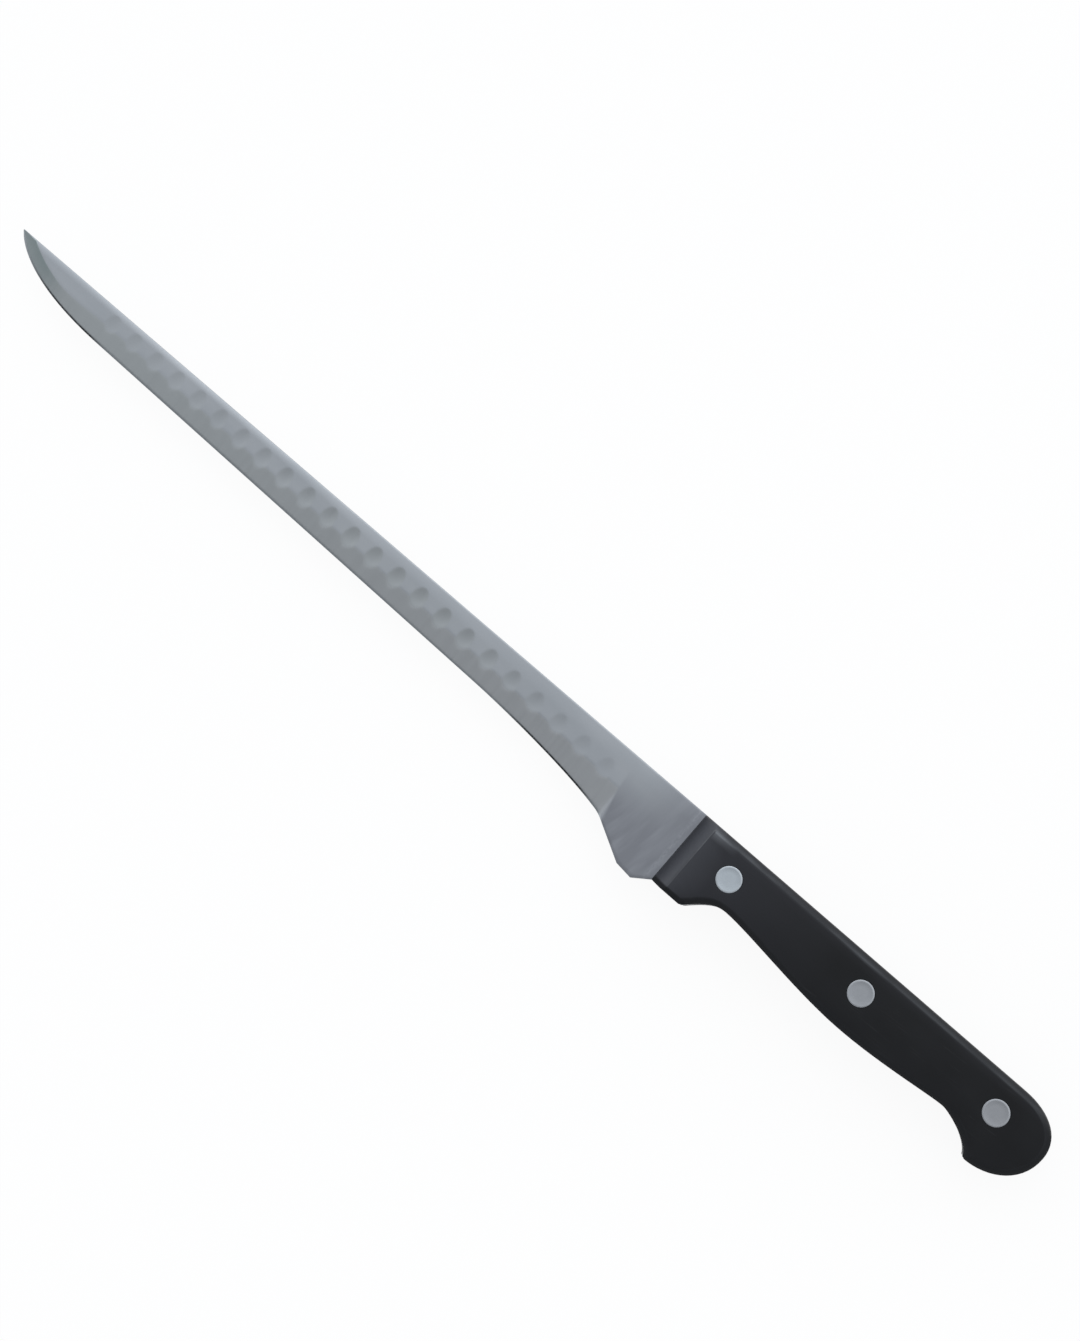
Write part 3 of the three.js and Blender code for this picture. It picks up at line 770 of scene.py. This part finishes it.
def turned(profile, lightness):
    """A body turned about Z from radius and height pairs that start and end on the axis."""
    bm = new_bmesh("lightness")
    rings = []
    for radius, z in profile[1:-1]:
        rings.append(ring_of_vertices(bm, circle(Vector((0, 0)), radius), z))
    for first, second in zip(rings, rings[1:]):
        bridge(bm, close_ring(first), close_ring(second))
    for ring, (_, z) in ((rings[0], profile[0]), (rings[-1], profile[-1])):
        centre = bm.verts.new((0, 0, z))
        for a, b in zip(ring, close_ring(ring)[1:]):
            bm.faces.new((centre, a, b))
    paint(bm, "lightness", [bm.verts], [[lightness] * len(bm.verts)])
    return bm


def head_profile():
    """The outer face of a rivet head, from the axis to the edge of its underside."""
    rim = HEAD_RADIUS - HEAD_CHAMFER
    chamfer_break = CHAMFER_BREAK_SHARE * HEAD_CHAMFER
    return [
        (0, HALF_HANDLE - HEAD_DISH),
        (DISH_FLAT_SHARE * rim, HALF_HANDLE - HEAD_DISH),
        (rim - HEAD_RIM_WIDTH, HALF_HANDLE - DISH_EDGE_SHARE * HEAD_DISH),
        (rim - RIM_FLAT_SHARE * HEAD_RIM_WIDTH, HALF_HANDLE),
        (rim, HALF_HANDLE),
        (HEAD_RADIUS - chamfer_break, HALF_HANDLE - chamfer_break),
        (HEAD_RADIUS, HALF_HANDLE - HEAD_CHAMFER),
        (HEAD_RADIUS, HEAD_FLOOR),
    ]


def cap_mesh(lightness):
    """The left half of a rivet: a flush head on a tube."""
    bore = PIN_RADIUS + RIVET_FIT
    tube_end = RIVET_END_GAP - HEAD_FLOOR
    return turned(head_profile() + [
        (TUBE_RADIUS, HEAD_FLOOR),
        (TUBE_RADIUS, tube_end),
        (bore, tube_end),
        (bore, HEAD_FLOOR),
        (0, HEAD_FLOOR),
    ], lightness)


def mirrored(bm):
    """The same body on the other side of the steel."""
    bmesh.ops.scale(bm, verts=bm.verts, vec=(1, 1, -1))
    return bm


def post_mesh(lightness):
    """The right half of a rivet: a flush head on a solid pin."""
    pin_end = RIVET_END_GAP - HEAD_FLOOR
    bm = turned(head_profile() + [
        (PIN_RADIUS, HEAD_FLOOR),
        (PIN_RADIUS, pin_end),
        (0, pin_end),
    ], lightness)
    return mirrored(bm)


def piece(name, bm, place, material, node):
    """A finished piece that stands for one node and lies still on the knife's only body."""
    mesh = bpy.data.meshes.new(name)
    bmesh.ops.recalc_face_normals(bm, faces=bm.faces)
    bm.to_mesh(mesh)
    bm.free()
    mesh.shade_smooth()
    mesh.set_sharp_from_angle(angle=SHARP_ANGLE)
    mesh.materials.append(material)
    body = bpy.data.objects.new(name, mesh)
    body.location = place
    bpy.context.scene.collection.objects.link(body)
    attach(body, "root")
    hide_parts(node)
    return body


# Nearly all of a noise's values lie between these two.
NOISE_LOW = 0.3
NOISE_HIGH = 0.7


class Nodes:
    """Short calls for building a node tree."""

    def __init__(self, tree):
        self.tree = tree
        tree.nodes.clear()

    def add(self, kind, inputs=None, **settings):
        node = self.tree.nodes.new(kind)
        for name, value in settings.items():
            setattr(node, name, value)
        for socket, value in (inputs or {}).items():
            if isinstance(value, bpy.types.NodeSocket):
                self.tree.links.new(value, node.inputs[socket])
            else:
                node.inputs[socket].default_value = value
        return node

    def math(self, operation, a, b):
        return self.add("ShaderNodeMath", {0: a, 1: b}, operation=operation).outputs[0]

    def remap(self, value, low, high, to_low, to_high):
        inputs = {"Value": value, "From Min": low, "From Max": high, "To Min": to_low, "To Max": to_high}
        return self.add("ShaderNodeMapRange", inputs).outputs["Result"]

    def spread(self, noise, to_low, to_high):
        """Most of the range of a noise, stretched between two other values."""
        return self.remap(noise, NOISE_LOW, NOISE_HIGH, to_low, to_high)

    def band(self, value, centre, half_width):
        """1 at a value and 0 at half a width from it."""
        distance = self.math("ABSOLUTE", self.math("SUBTRACT", value, centre), 0)
        return self.remap(distance, 0, half_width, 1, 0)

    def mix_colour(self, share, first, second):
        node = self.add("ShaderNodeMix", {"Factor": share}, data_type="RGBA")
        for socket, value in ((node.inputs[6], first), (node.inputs[7], second)):
            if isinstance(value, bpy.types.NodeSocket):
                self.tree.links.new(value, socket)
            else:
                socket.default_value = (*value, 1)
        return node.outputs[2]

    def attribute(self, name):
        return self.add("ShaderNodeAttribute", attribute_name=name).outputs["Fac"]

    def noise(self, coordinates, sizes, detail=2, turn=0):
        """Noise from 0 to 1 whose marks have the given sizes along X, Y and Z."""
        mapping = self.add("ShaderNodeMapping", {"Vector": coordinates}, vector_type="TEXTURE")
        mapping.inputs["Scale"].default_value = sizes
        mapping.inputs["Rotation"].default_value = (0, 0, turn)
        inputs = {"Vector": mapping.outputs["Vector"], "Scale": 1, "Detail": detail}
        return self.add("ShaderNodeTexNoise", inputs).outputs["Fac"]


def new_material(name):
    material = bpy.data.materials.new(name)
    material.use_nodes = True
    nodes = Nodes(material.node_tree)
    coordinates = nodes.add("ShaderNodeTexCoord").outputs["Object"]
    shader = nodes.add("ShaderNodeBsdfPrincipled")
    nodes.add("ShaderNodeOutputMaterial", {"Surface": shader.outputs["BSDF"]})
    return material, nodes, coordinates, shader


def link(nodes, shader, **sockets):
    for name, output in sockets.items():
        nodes.tree.links.new(output, shader.inputs[name.replace("_", " ")])


# Steel: its colours and finish, where the bevel is painted lighter, the painted shade on the heel, in the
# dimples and along the edge, and the rubbed stripe near the handle.
STEEL_SHADE = (0.325, 0.344, 0.363)
STEEL_LIGHT = (0.357, 0.374, 0.392)
HEEL_BEVEL_PAINTED_LIGHT_COLOUR = (0.378, 0.39, 0.398)
TIP_BEVEL_COLOUR = (0.337, 0.356, 0.36)
DIMPLE_SHADE_COLOUR = (0.315, 0.332, 0.334)
HEEL_FINISH_AND_SHADE_COLOUR = (0.222, 0.23, 0.25)
STREAK_COLOUR = (0.3, 0.312, 0.335)
STRIPE_COLOUR = (0.33, 0.342, 0.365)
FACET_COLOUR = (0.222, 0.257, 0.257)
EDGE_COLOUR = (0.31, 0.33, 0.345)
EDGE_SHADE_COLOUR = (0.02, 0.022, 0.024)
STEEL_ROUGHNESS = (0.33, 0.42)
EDGE_SMOOTHNESS = 0.08
STEEL_BUMP = {"Strength": 0.35, "Distance": 0.012 * MM}
BEVEL_LIGHT_START_X = 60 * MM
BEVEL_LIGHT_END_X = 190 * MM
STREAK_LEAN = math.radians(-12)
STRIPE_X = 1.7 * MM
STRIPE_REACH = 0.9 * MM


def blade_steel():
    """Satin steel, ground across the blade, with a darker streaked heel that is partly its own unground
    finish and partly painted shade from the handle, painted shade in the dimples and along the edge at the
    belly and the sweep, a bevel painted lighter towards the heel, a darker tip facet and a worn edge.
    """
    material, nodes, coordinates, shader = new_material("blade_steel")
    shader.inputs["Metallic"].default_value = 1
    edge = nodes.attribute("edge")
    heel = nodes.attribute("heel")
    along = nodes.add("ShaderNodeSeparateXYZ", {0: coordinates}).outputs["X"]
    fine = nodes.noise(coordinates, (0.16 * MM, 5 * MM, 5 * MM), 3)
    coarse = nodes.noise(coordinates, (0.9 * MM, 14 * MM, 14 * MM), 2)
    streaks = nodes.noise(coordinates, (3.6 * MM, 17 * MM, 17 * MM), 3, STREAK_LEAN)
    clouds = nodes.noise(coordinates, (22 * MM, 7 * MM, 7 * MM), 3)
    nicks = nodes.noise(coordinates, (0.5 * MM, 0.9 * MM, 0.9 * MM), 3)
    colour = nodes.mix_colour(nodes.spread(clouds, 0, 1), STEEL_SHADE, STEEL_LIGHT)
    # Painted light: the bevel is painted lighter towards the heel.
    to_tip = nodes.remap(along, BEVEL_LIGHT_START_X, BEVEL_LIGHT_END_X, 0, 1)
    bevel = nodes.mix_colour(to_tip, HEEL_BEVEL_PAINTED_LIGHT_COLOUR, TIP_BEVEL_COLOUR)
    colour = nodes.mix_colour(nodes.attribute("bevel"), colour, bevel)
    # Painted shade in the hollows of the dimples.
    colour = nodes.mix_colour(nodes.attribute("painted_dimple_shade"), colour, DIMPLE_SHADE_COLOUR)
    # Darker heel: partly its own unground finish, partly painted shade from the handle.
    colour = nodes.mix_colour(heel, colour, HEEL_FINISH_AND_SHADE_COLOUR)
    streaked = nodes.math("MULTIPLY", heel, nodes.remap(streaks, 0.42, 0.72, 0, 0.7))
    colour = nodes.mix_colour(streaked, colour, STREAK_COLOUR)
    stripe = nodes.band(along, STRIPE_X, STRIPE_REACH)
    stripe = nodes.math("MULTIPLY", stripe, nodes.remap(nicks, 0.35, 0.65, 0, 0.5))
    colour = nodes.mix_colour(stripe, colour, STRIPE_COLOUR)
    colour = nodes.mix_colour(nodes.attribute("tip"), colour, FACET_COLOUR)
    colour = nodes.mix_colour(edge, colour, EDGE_COLOUR)
    # Painted shade along the edge, broken up by noise.
    painted_edge_shade = nodes.math("MULTIPLY", nodes.attribute("painted_edge_shade"), nodes.remap(nicks, 0.3, 0.6, 0.6, 0.95))
    colour = nodes.mix_colour(painted_edge_shade, colour, EDGE_SHADE_COLOUR)
    roughness = nodes.spread(coarse, *STEEL_ROUGHNESS)
    roughness = nodes.math("SUBTRACT", roughness, nodes.math("MULTIPLY", edge, EDGE_SMOOTHNESS))
    grain = nodes.math("ADD", fine, nodes.math("MULTIPLY", coarse, 0.8))
    grain = nodes.math("ADD", grain, nodes.math("MULTIPLY", streaks, heel))
    bump = nodes.add("ShaderNodeBump", {"Height": grain, **STEEL_BUMP})
    link(nodes, shader, Base_Color=colour, Roughness=roughness, Normal=bump.outputs["Normal"])
    return material


# Plastic: its colours and finish, where sheen and highlights are painted on it, where it is matt under the
# front land, and where it is worn.
PLASTIC_IOR = 1.33
PLASTIC_SHADE = (0.0006, 0.0009, 0.0017)
PLASTIC_LIGHT = (0.0032, 0.0037, 0.0049)
SCUFF_COLOUR = (0.03, 0.031, 0.033)
FRONT_SHEEN_COLOUR = (0.0185, 0.0192, 0.0236)
SLOPE_HIGHLIGHT_COLOUR = (0.05, 0.052, 0.06)
EDGE_HIGHLIGHT_COLOUR = (0.11, 0.116, 0.124)
TOP_HIGHLIGHT_COLOUR = (0.155, 0.163, 0.175)
MATT_COLOUR = (0.018, 0.0185, 0.0198)
PLASTIC_ROUGHNESS = (0.28, 0.38)
RUBBED_SMOOTHNESS = 0.06
MATT_ROUGHNESS = 0.25
PLASTIC_GLOSS = 0.5
PLASTIC_BUMP = {"Strength": 0.3, "Distance": 0.02 * MM}
# The plastic is painted lighter towards the front as a sheen, between these two places.
FRONT_SHEEN_START_X = -48 * MM
FRONT_SHEEN_FULL_X = -4 * MM
# Painted sheen along the strip of the face beside the spine.
TOP_SHEEN = 0.3
TOP_SHEEN_START_DEPTH = 1.5 * MM
TOP_SHEEN_END_DEPTH = 4.2 * MM
MATT_LAND_START_X = -14 * MM
MATT_LAND_FULL_X = -11 * MM
MATT_LAND_WIDTH = 1.7 * MM
MATT_LAND_FULL_WIDTH = 1.1 * MM
# Where the painted highlight line beside the spine lies, and how it fades.
TOP_HIGHLIGHT_START_DEPTH = 1.2 * MM
TOP_HIGHLIGHT_DEPTH = 1.75 * MM
TOP_HIGHLIGHT_END_DEPTH = 2.4 * MM
TOP_HIGHLIGHT_FADE = 0.5 * MM
TOP_HIGHLIGHT_HAZE = 0.5
TOP_HIGHLIGHT_HAZE_END_DEPTH = 3.8 * MM
TOP_HIGHLIGHT_CORNER_START_X = -13 * MM
TOP_HIGHLIGHT_CORNER_FULL_X = -7 * MM
TOP_HIGHLIGHT_MIDDLE_X = -53 * MM
TOP_HIGHLIGHT_MIDDLE_REACH = 8 * MM
TOP_HIGHLIGHT_MIDDLE_SHARE = 0.22
LEAST_TOP_HIGHLIGHT_SHARE = 0.07


def painted_top_highlight(nodes, along, down):
    """The painted highlight beside the spine: a pale line on a scale's face, with a haze at its front
    corner.
    """
    ridge = nodes.remap(down, TOP_HIGHLIGHT_START_DEPTH, TOP_HIGHLIGHT_DEPTH, 0, 1)
    behind_front = nodes.remap(along, -FRONT_SLOPE_RUN - TOP_HIGHLIGHT_FADE, -FRONT_SLOPE_RUN, 1, 0)
    ridge = nodes.math("MULTIPLY", ridge, behind_front)
    corner = nodes.remap(along, TOP_HIGHLIGHT_CORNER_START_X, TOP_HIGHLIGHT_CORNER_FULL_X, 0, 1)
    middle_highlight = nodes.band(along, TOP_HIGHLIGHT_MIDDLE_X, TOP_HIGHLIGHT_MIDDLE_REACH)
    middle_highlight = nodes.math("ADD", nodes.math("MULTIPLY", middle_highlight, TOP_HIGHLIGHT_MIDDLE_SHARE), LEAST_TOP_HIGHLIGHT_SHARE)
    crisp = nodes.remap(down, TOP_HIGHLIGHT_DEPTH, TOP_HIGHLIGHT_END_DEPTH, 1, 0)
    crisp = nodes.math("MULTIPLY", nodes.math("MAXIMUM", middle_highlight, corner), crisp)
    hazy = nodes.remap(down, TOP_HIGHLIGHT_DEPTH, TOP_HIGHLIGHT_HAZE_END_DEPTH, TOP_HIGHLIGHT_HAZE, 0)
    hazy = nodes.math("MULTIPLY", corner, hazy)
    return nodes.math("MULTIPLY", ridge, nodes.math("MAXIMUM", crisp, hazy))


def with_matt_land(nodes, along, down, dull):
    """The dullness of a scale, raised to 1 along the underside of its front land."""
    land = nodes.remap(along, MATT_LAND_START_X, MATT_LAND_FULL_X, 0, 1)
    under = nodes.remap(down, FRONT_DEPTH - MATT_LAND_WIDTH, FRONT_DEPTH - MATT_LAND_FULL_WIDTH, 0, 1)
    under = nodes.math("MULTIPLY", land, under)
    elsewhere = nodes.math("MULTIPLY", dull, nodes.math("SUBTRACT", 1, under))
    return nodes.math("ADD", elsewhere, under)


def handle_plastic():
    """Black moulded plastic with a fine matt grain, light scuffs and edges worn smooth, with painted sheen
    at its front and top and painted highlights on its edges, front slope and the line beside the spine.
    """
    material, nodes, coordinates, shader = new_material("handle_plastic")
    shader.inputs["IOR"].default_value = PLASTIC_IOR
    parts = nodes.add("ShaderNodeSeparateXYZ", {0: coordinates}).outputs
    along, down = parts["X"], parts["Y"]
    grain = nodes.noise(coordinates, (0.35 * MM, 0.35 * MM, 0.35 * MM), 2)
    waves = nodes.noise(coordinates, (16 * MM, 9 * MM, 9 * MM), 2)
    scuffs = nodes.noise(coordinates, (14 * MM, 0.3 * MM, 0.3 * MM), 3, math.radians(4))
    patches = nodes.noise(coordinates, (9 * MM, 5 * MM, 5 * MM), 4)
    front = nodes.remap(along, FRONT_SHEEN_START_X, FRONT_SHEEN_FULL_X, 0, 1)
    # Painted highlight along the rounded edges, stronger towards the front; it also makes them a little
    # smoother.
    highlight_and_rub = nodes.math("MULTIPLY", nodes.attribute("highlight_and_wear"), nodes.remap(patches, 0.35, 0.6, 0.25, 1))
    highlight_and_rub = nodes.math("MULTIPLY", highlight_and_rub, nodes.remap(front, 0, 1, 0.3, 1))
    dull = with_matt_land(nodes, along, down, nodes.attribute("dull"))
    # Below 0 the dullness is the painted highlight of the front slope, so only the rest of it makes the
    # plastic matt.
    matt = nodes.remap(dull, 0, 1, 0, 1)
    bright = nodes.math("SUBTRACT", 1, matt)
    colour = nodes.mix_colour(nodes.spread(waves, 0, 1), PLASTIC_SHADE, PLASTIC_LIGHT)
    scratched = nodes.remap(scuffs, 0.62, 0.7, 0, 0.3)
    scratched = nodes.math("MULTIPLY", scratched, nodes.remap(patches, 0.5, 0.6, 0, 1))
    colour = nodes.mix_colour(scratched, colour, SCUFF_COLOUR)
    # Painted sheen: lighter towards the front.
    colour = nodes.mix_colour(nodes.math("MULTIPLY", front, bright), colour, FRONT_SHEEN_COLOUR)
    # Painted sheen along the strip beside the spine.
    top_sheen = nodes.remap(down, TOP_SHEEN_START_DEPTH, TOP_SHEEN_END_DEPTH, TOP_SHEEN, 0)
    colour = nodes.mix_colour(top_sheen, colour, FRONT_SHEEN_COLOUR)
    # Painted highlight on the front slope.
    colour = nodes.mix_colour(nodes.remap(dull, -FRONT_SLOPE_HIGHLIGHT, 0, 1, 0), colour, SLOPE_HIGHLIGHT_COLOUR)
    # The painted edge highlight in the base colour.
    colour = nodes.mix_colour(nodes.math("MULTIPLY", highlight_and_rub, bright), colour, EDGE_HIGHLIGHT_COLOUR)
    # Painted highlight line beside the spine.
    colour = nodes.mix_colour(painted_top_highlight(nodes, along, down), colour, TOP_HIGHLIGHT_COLOUR)
    colour = nodes.mix_colour(matt, colour, MATT_COLOUR)
    roughness = nodes.spread(patches, *PLASTIC_ROUGHNESS)
    roughness = nodes.math("SUBTRACT", roughness, nodes.math("MULTIPLY", highlight_and_rub, RUBBED_SMOOTHNESS))
    roughness = nodes.math("ADD", roughness, nodes.math("MULTIPLY", matt, MATT_ROUGHNESS))
    gloss = nodes.remap(matt, 0, 1, PLASTIC_GLOSS, 0)
    height = nodes.math("ADD", grain, nodes.math("MULTIPLY", scuffs, 0.7))
    bump = nodes.add("ShaderNodeBump", {"Height": height, **PLASTIC_BUMP})
    link(nodes, shader, Base_Color=colour, Roughness=roughness, Specular_IOR_Level=gloss)
    link(nodes, shader, Normal=bump.outputs["Normal"])
    return material


# Rivets: colours of a darker and a lighter head, of the rim's painted highlight and of stains, the finish,
# and the rim's place.
DARK_RIVET_COLOUR = (0.305, 0.307, 0.318)
LIGHT_RIVET_COLOUR = (0.455, 0.497, 0.528)
RIM_HIGHLIGHT_COLOUR = (0.52, 0.54, 0.56)
STAIN_COLOUR = (0.2, 0.21, 0.22)
RIVET_ROUGHNESS = (0.32, 0.42)
RIVET_BUMP = {"Strength": 0.3, "Distance": 0.01 * MM}
RIM_START_RADIUS = 0.82 * HEAD_RADIUS
RIM_FULL_RADIUS = 0.9 * HEAD_RADIUS


def rivet_metal():
    """Pale satin metal, linished flush with the scales, each head as light as its given lightness, with a
    painted highlight on its rim.
    """
    material, nodes, coordinates, shader = new_material("rivet_metal")
    shader.inputs["Metallic"].default_value = 1
    lines = nodes.noise(coordinates, (6 * MM, 0.12 * MM, 6 * MM), 3, math.radians(35))
    clouds = nodes.noise(coordinates, (2.5 * MM, 2.5 * MM, 2.5 * MM), 3)
    flattened = nodes.add("ShaderNodeVectorMath", {0: coordinates, 1: (1, 1, 0)}, operation="MULTIPLY")
    length = nodes.add("ShaderNodeVectorMath", {0: flattened.outputs["Vector"]}, operation="LENGTH")
    # Painted highlight: the outer ring of each head is painted lighter.
    rim = nodes.remap(length.outputs["Value"], RIM_START_RADIUS, RIM_FULL_RADIUS, 0, 0.3)
    # Each head lighter or darker by its given share, the front one lightest.
    colour = nodes.mix_colour(nodes.attribute("lightness"), DARK_RIVET_COLOUR, LIGHT_RIVET_COLOUR)
    colour = nodes.mix_colour(rim, colour, RIM_HIGHLIGHT_COLOUR)
    colour = nodes.mix_colour(nodes.spread(clouds, 0, 0.16), colour, STAIN_COLOUR)
    roughness = nodes.spread(lines, *RIVET_ROUGHNESS)
    bump = nodes.add("ShaderNodeBump", {"Height": lines, **RIVET_BUMP})
    link(nodes, shader, Base_Color=colour, Roughness=roughness, Normal=bump.outputs["Normal"])
    return material


def build_knife():
    steel = blade_steel()
    plastic = handle_plastic()
    metal = rivet_metal()
    piece("ground_blade", blade_mesh(), ORIGIN, steel, "blade")
    piece("left_grip_scale", scale_mesh(), ORIGIN, plastic, "left_scale")
    piece("right_grip_scale", mirrored(scale_mesh()), ORIGIN, plastic, "right_scale")
    for name, centre, lightness in zip(RIVET_NAMES, RIVET_CENTRES, RIVET_LIGHTNESS):
        place = ORIGIN + centre.to_3d()
        piece(f"{name}_cap_head", cap_mesh(lightness), place, metal, f"{name}_rivet_cap")
        piece(f"{name}_post_head", post_mesh(lightness), place, metal, f"{name}_rivet_post")


# Studio: a pale floor, a dome that is lighter on one side, and one soft lamp.
FLOOR_SIZE = 60
FLOOR_COLOUR = (0.92, 0.92, 0.92, 1)
FLOOR_GLOW_SHARE = 0.92
LIT_SIDE = Vector((0.12, -0.99, 0))
LAMP_SIDE = Vector((0.25, -0.5, 0.83)).normalized()
LAMP_DISTANCE = 0.9
LAMP_LENGTH = 0.5
LAMP_WIDTH = 0.14
LAMP_POWER = 0.25
LIGHT_COLOUR = (0.955, 0.99, 1.04)

# Strength of the dome: its shaded side, the pale low sky, and the brighter spine side and tip end.
DOME_SHADE = 0.5
SHADE_START, SHADE_END = -0.21, 0.045
LOW_SKY, HIGH_SKY = 0.3, 0.55
SIDE_GAIN = 0.65
SIDE_GAIN_START, SIDE_GAIN_END = 0.3, 0.7
END_GAIN = 0.6
END_GAIN_START, END_GAIN_END = 0.6, 0.95
HORIZON, HORIZON_END = 0.02, 0.08


def floor_material():
    """A pale floor that stays white where it shows, and keeps part of the knife's shadow."""
    material = bpy.data.materials.new("floor")
    material.use_nodes = True
    nodes = Nodes(material.node_tree)
    rays = nodes.add("ShaderNodeLightPath").outputs
    seen = nodes.math("MAXIMUM", rays["Is Camera Ray"], rays["Is Glossy Ray"])
    seen = nodes.math("MAXIMUM", seen, rays["Is Transmission Ray"])
    lit = nodes.add("ShaderNodeBsdfDiffuse", {"Color": FLOOR_COLOUR}).outputs["BSDF"]
    glow = nodes.add("ShaderNodeEmission", {"Color": (1, 1, 1, 1), "Strength": 1}).outputs["Emission"]
    share = nodes.math("MULTIPLY", seen, FLOOR_GLOW_SHARE)
    surface = nodes.add("ShaderNodeMixShader", {0: share, 1: lit, 2: glow}).outputs["Shader"]
    nodes.add("ShaderNodeOutputMaterial", {"Surface": surface})
    return material


def add_floor():
    bm = bmesh.new()
    bmesh.ops.create_grid(bm, x_segments=2, y_segments=2, size=FLOOR_SIZE / 2)
    mesh = bpy.data.meshes.new("floor")
    bm.to_mesh(mesh)
    bm.free()
    mesh.materials.append(floor_material())
    floor = bpy.data.objects.new("floor", mesh)
    bpy.context.scene.collection.objects.link(floor)


def add_world():
    """A dome of soft light, pale at the horizon and lighter on the spine's side."""
    world = bpy.data.worlds.new("studio")
    world.use_nodes = True
    bpy.context.scene.world = world
    nodes = Nodes(world.node_tree)
    direction = nodes.add("ShaderNodeTexCoord").outputs["Generated"]
    parts = nodes.add("ShaderNodeSeparateXYZ", {0: direction}).outputs
    facing = nodes.add("ShaderNodeVectorMath", {0: direction, 1: LIT_SIDE}, operation="DOT_PRODUCT")
    to_side = facing.outputs["Value"]
    shade = nodes.remap(to_side, SHADE_START, SHADE_END, DOME_SHADE, 1)
    shade = nodes.math("MAXIMUM", shade, nodes.remap(parts["Z"], LOW_SKY, HIGH_SKY, 1, DOME_SHADE))
    side_gain = nodes.remap(to_side, SIDE_GAIN_START, SIDE_GAIN_END, 0, SIDE_GAIN)
    end_gain = nodes.remap(parts["X"], END_GAIN_START, END_GAIN_END, 0, END_GAIN)
    dome = nodes.math("ADD", shade, nodes.math("ADD", side_gain, end_gain))
    at_horizon = nodes.remap(parts["Z"], HORIZON, HORIZON_END, 1, 0)
    mixed = nodes.add("ShaderNodeMix", {"Factor": at_horizon, 2: dome, 3: 1}, data_type="FLOAT")
    strength = mixed.outputs[0]
    light = nodes.add("ShaderNodeBackground", {"Color": (*LIGHT_COLOUR, 1), "Strength": strength})
    nodes.add("ShaderNodeOutputWorld", {"Surface": light.outputs["Background"]})


def add_lamp():
    lamp = bpy.data.lights.new("softbox", "AREA")
    lamp.shape = "RECTANGLE"
    lamp.size = LAMP_LENGTH
    lamp.size_y = LAMP_WIDTH
    lamp.energy = LAMP_POWER
    softbox = bpy.data.objects.new("softbox", lamp)
    softbox.location = LAMP_DISTANCE * LAMP_SIDE
    softbox.rotation_euler = LAMP_SIDE.to_track_quat("Z", "Y").to_euler()
    softbox.visible_camera = False
    bpy.context.scene.collection.objects.link(softbox)


# Camera: above the handle end, leaning towards the tip, and turned so that the knife lies across the view.
CAMERA_TARGET = ORIGIN + Vector((57.08 * MM, -0.27 * MM, 0))
CAMERA_DISTANCE = 538.1 * MM
CAMERA_TILT = math.radians(12.355)
CAMERA_TURN = math.radians(139.347)
CAMERA_LENS = 56
CAMERA_SENSOR = 36
CAMERA_NEAREST = 0.01


def add_camera():
    back = Vector((-math.sin(CAMERA_TILT), 0, math.cos(CAMERA_TILT)))
    along = Vector((math.cos(CAMERA_TILT), 0, math.sin(CAMERA_TILT)))
    across = Vector((0, 1, 0))
    right = math.cos(CAMERA_TURN) * along - math.sin(CAMERA_TURN) * across
    up = math.sin(CAMERA_TURN) * along + math.cos(CAMERA_TURN) * across
    data = bpy.data.cameras.new("camera")
    data.lens = CAMERA_LENS
    data.sensor_width = CAMERA_SENSOR
    data.clip_start = CAMERA_NEAREST
    camera = bpy.data.objects.new("camera", data)
    turn = Matrix((right, up, back)).transposed().to_4x4()
    camera.matrix_world = Matrix.Translation(CAMERA_TARGET + CAMERA_DISTANCE * back) @ turn
    bpy.context.scene.collection.objects.link(camera)
    bpy.context.scene.camera = camera


build_knife()
add_floor()
add_world()
add_lamp()
add_camera()
bpy.context.scene.view_settings.view_transform = "Standard"
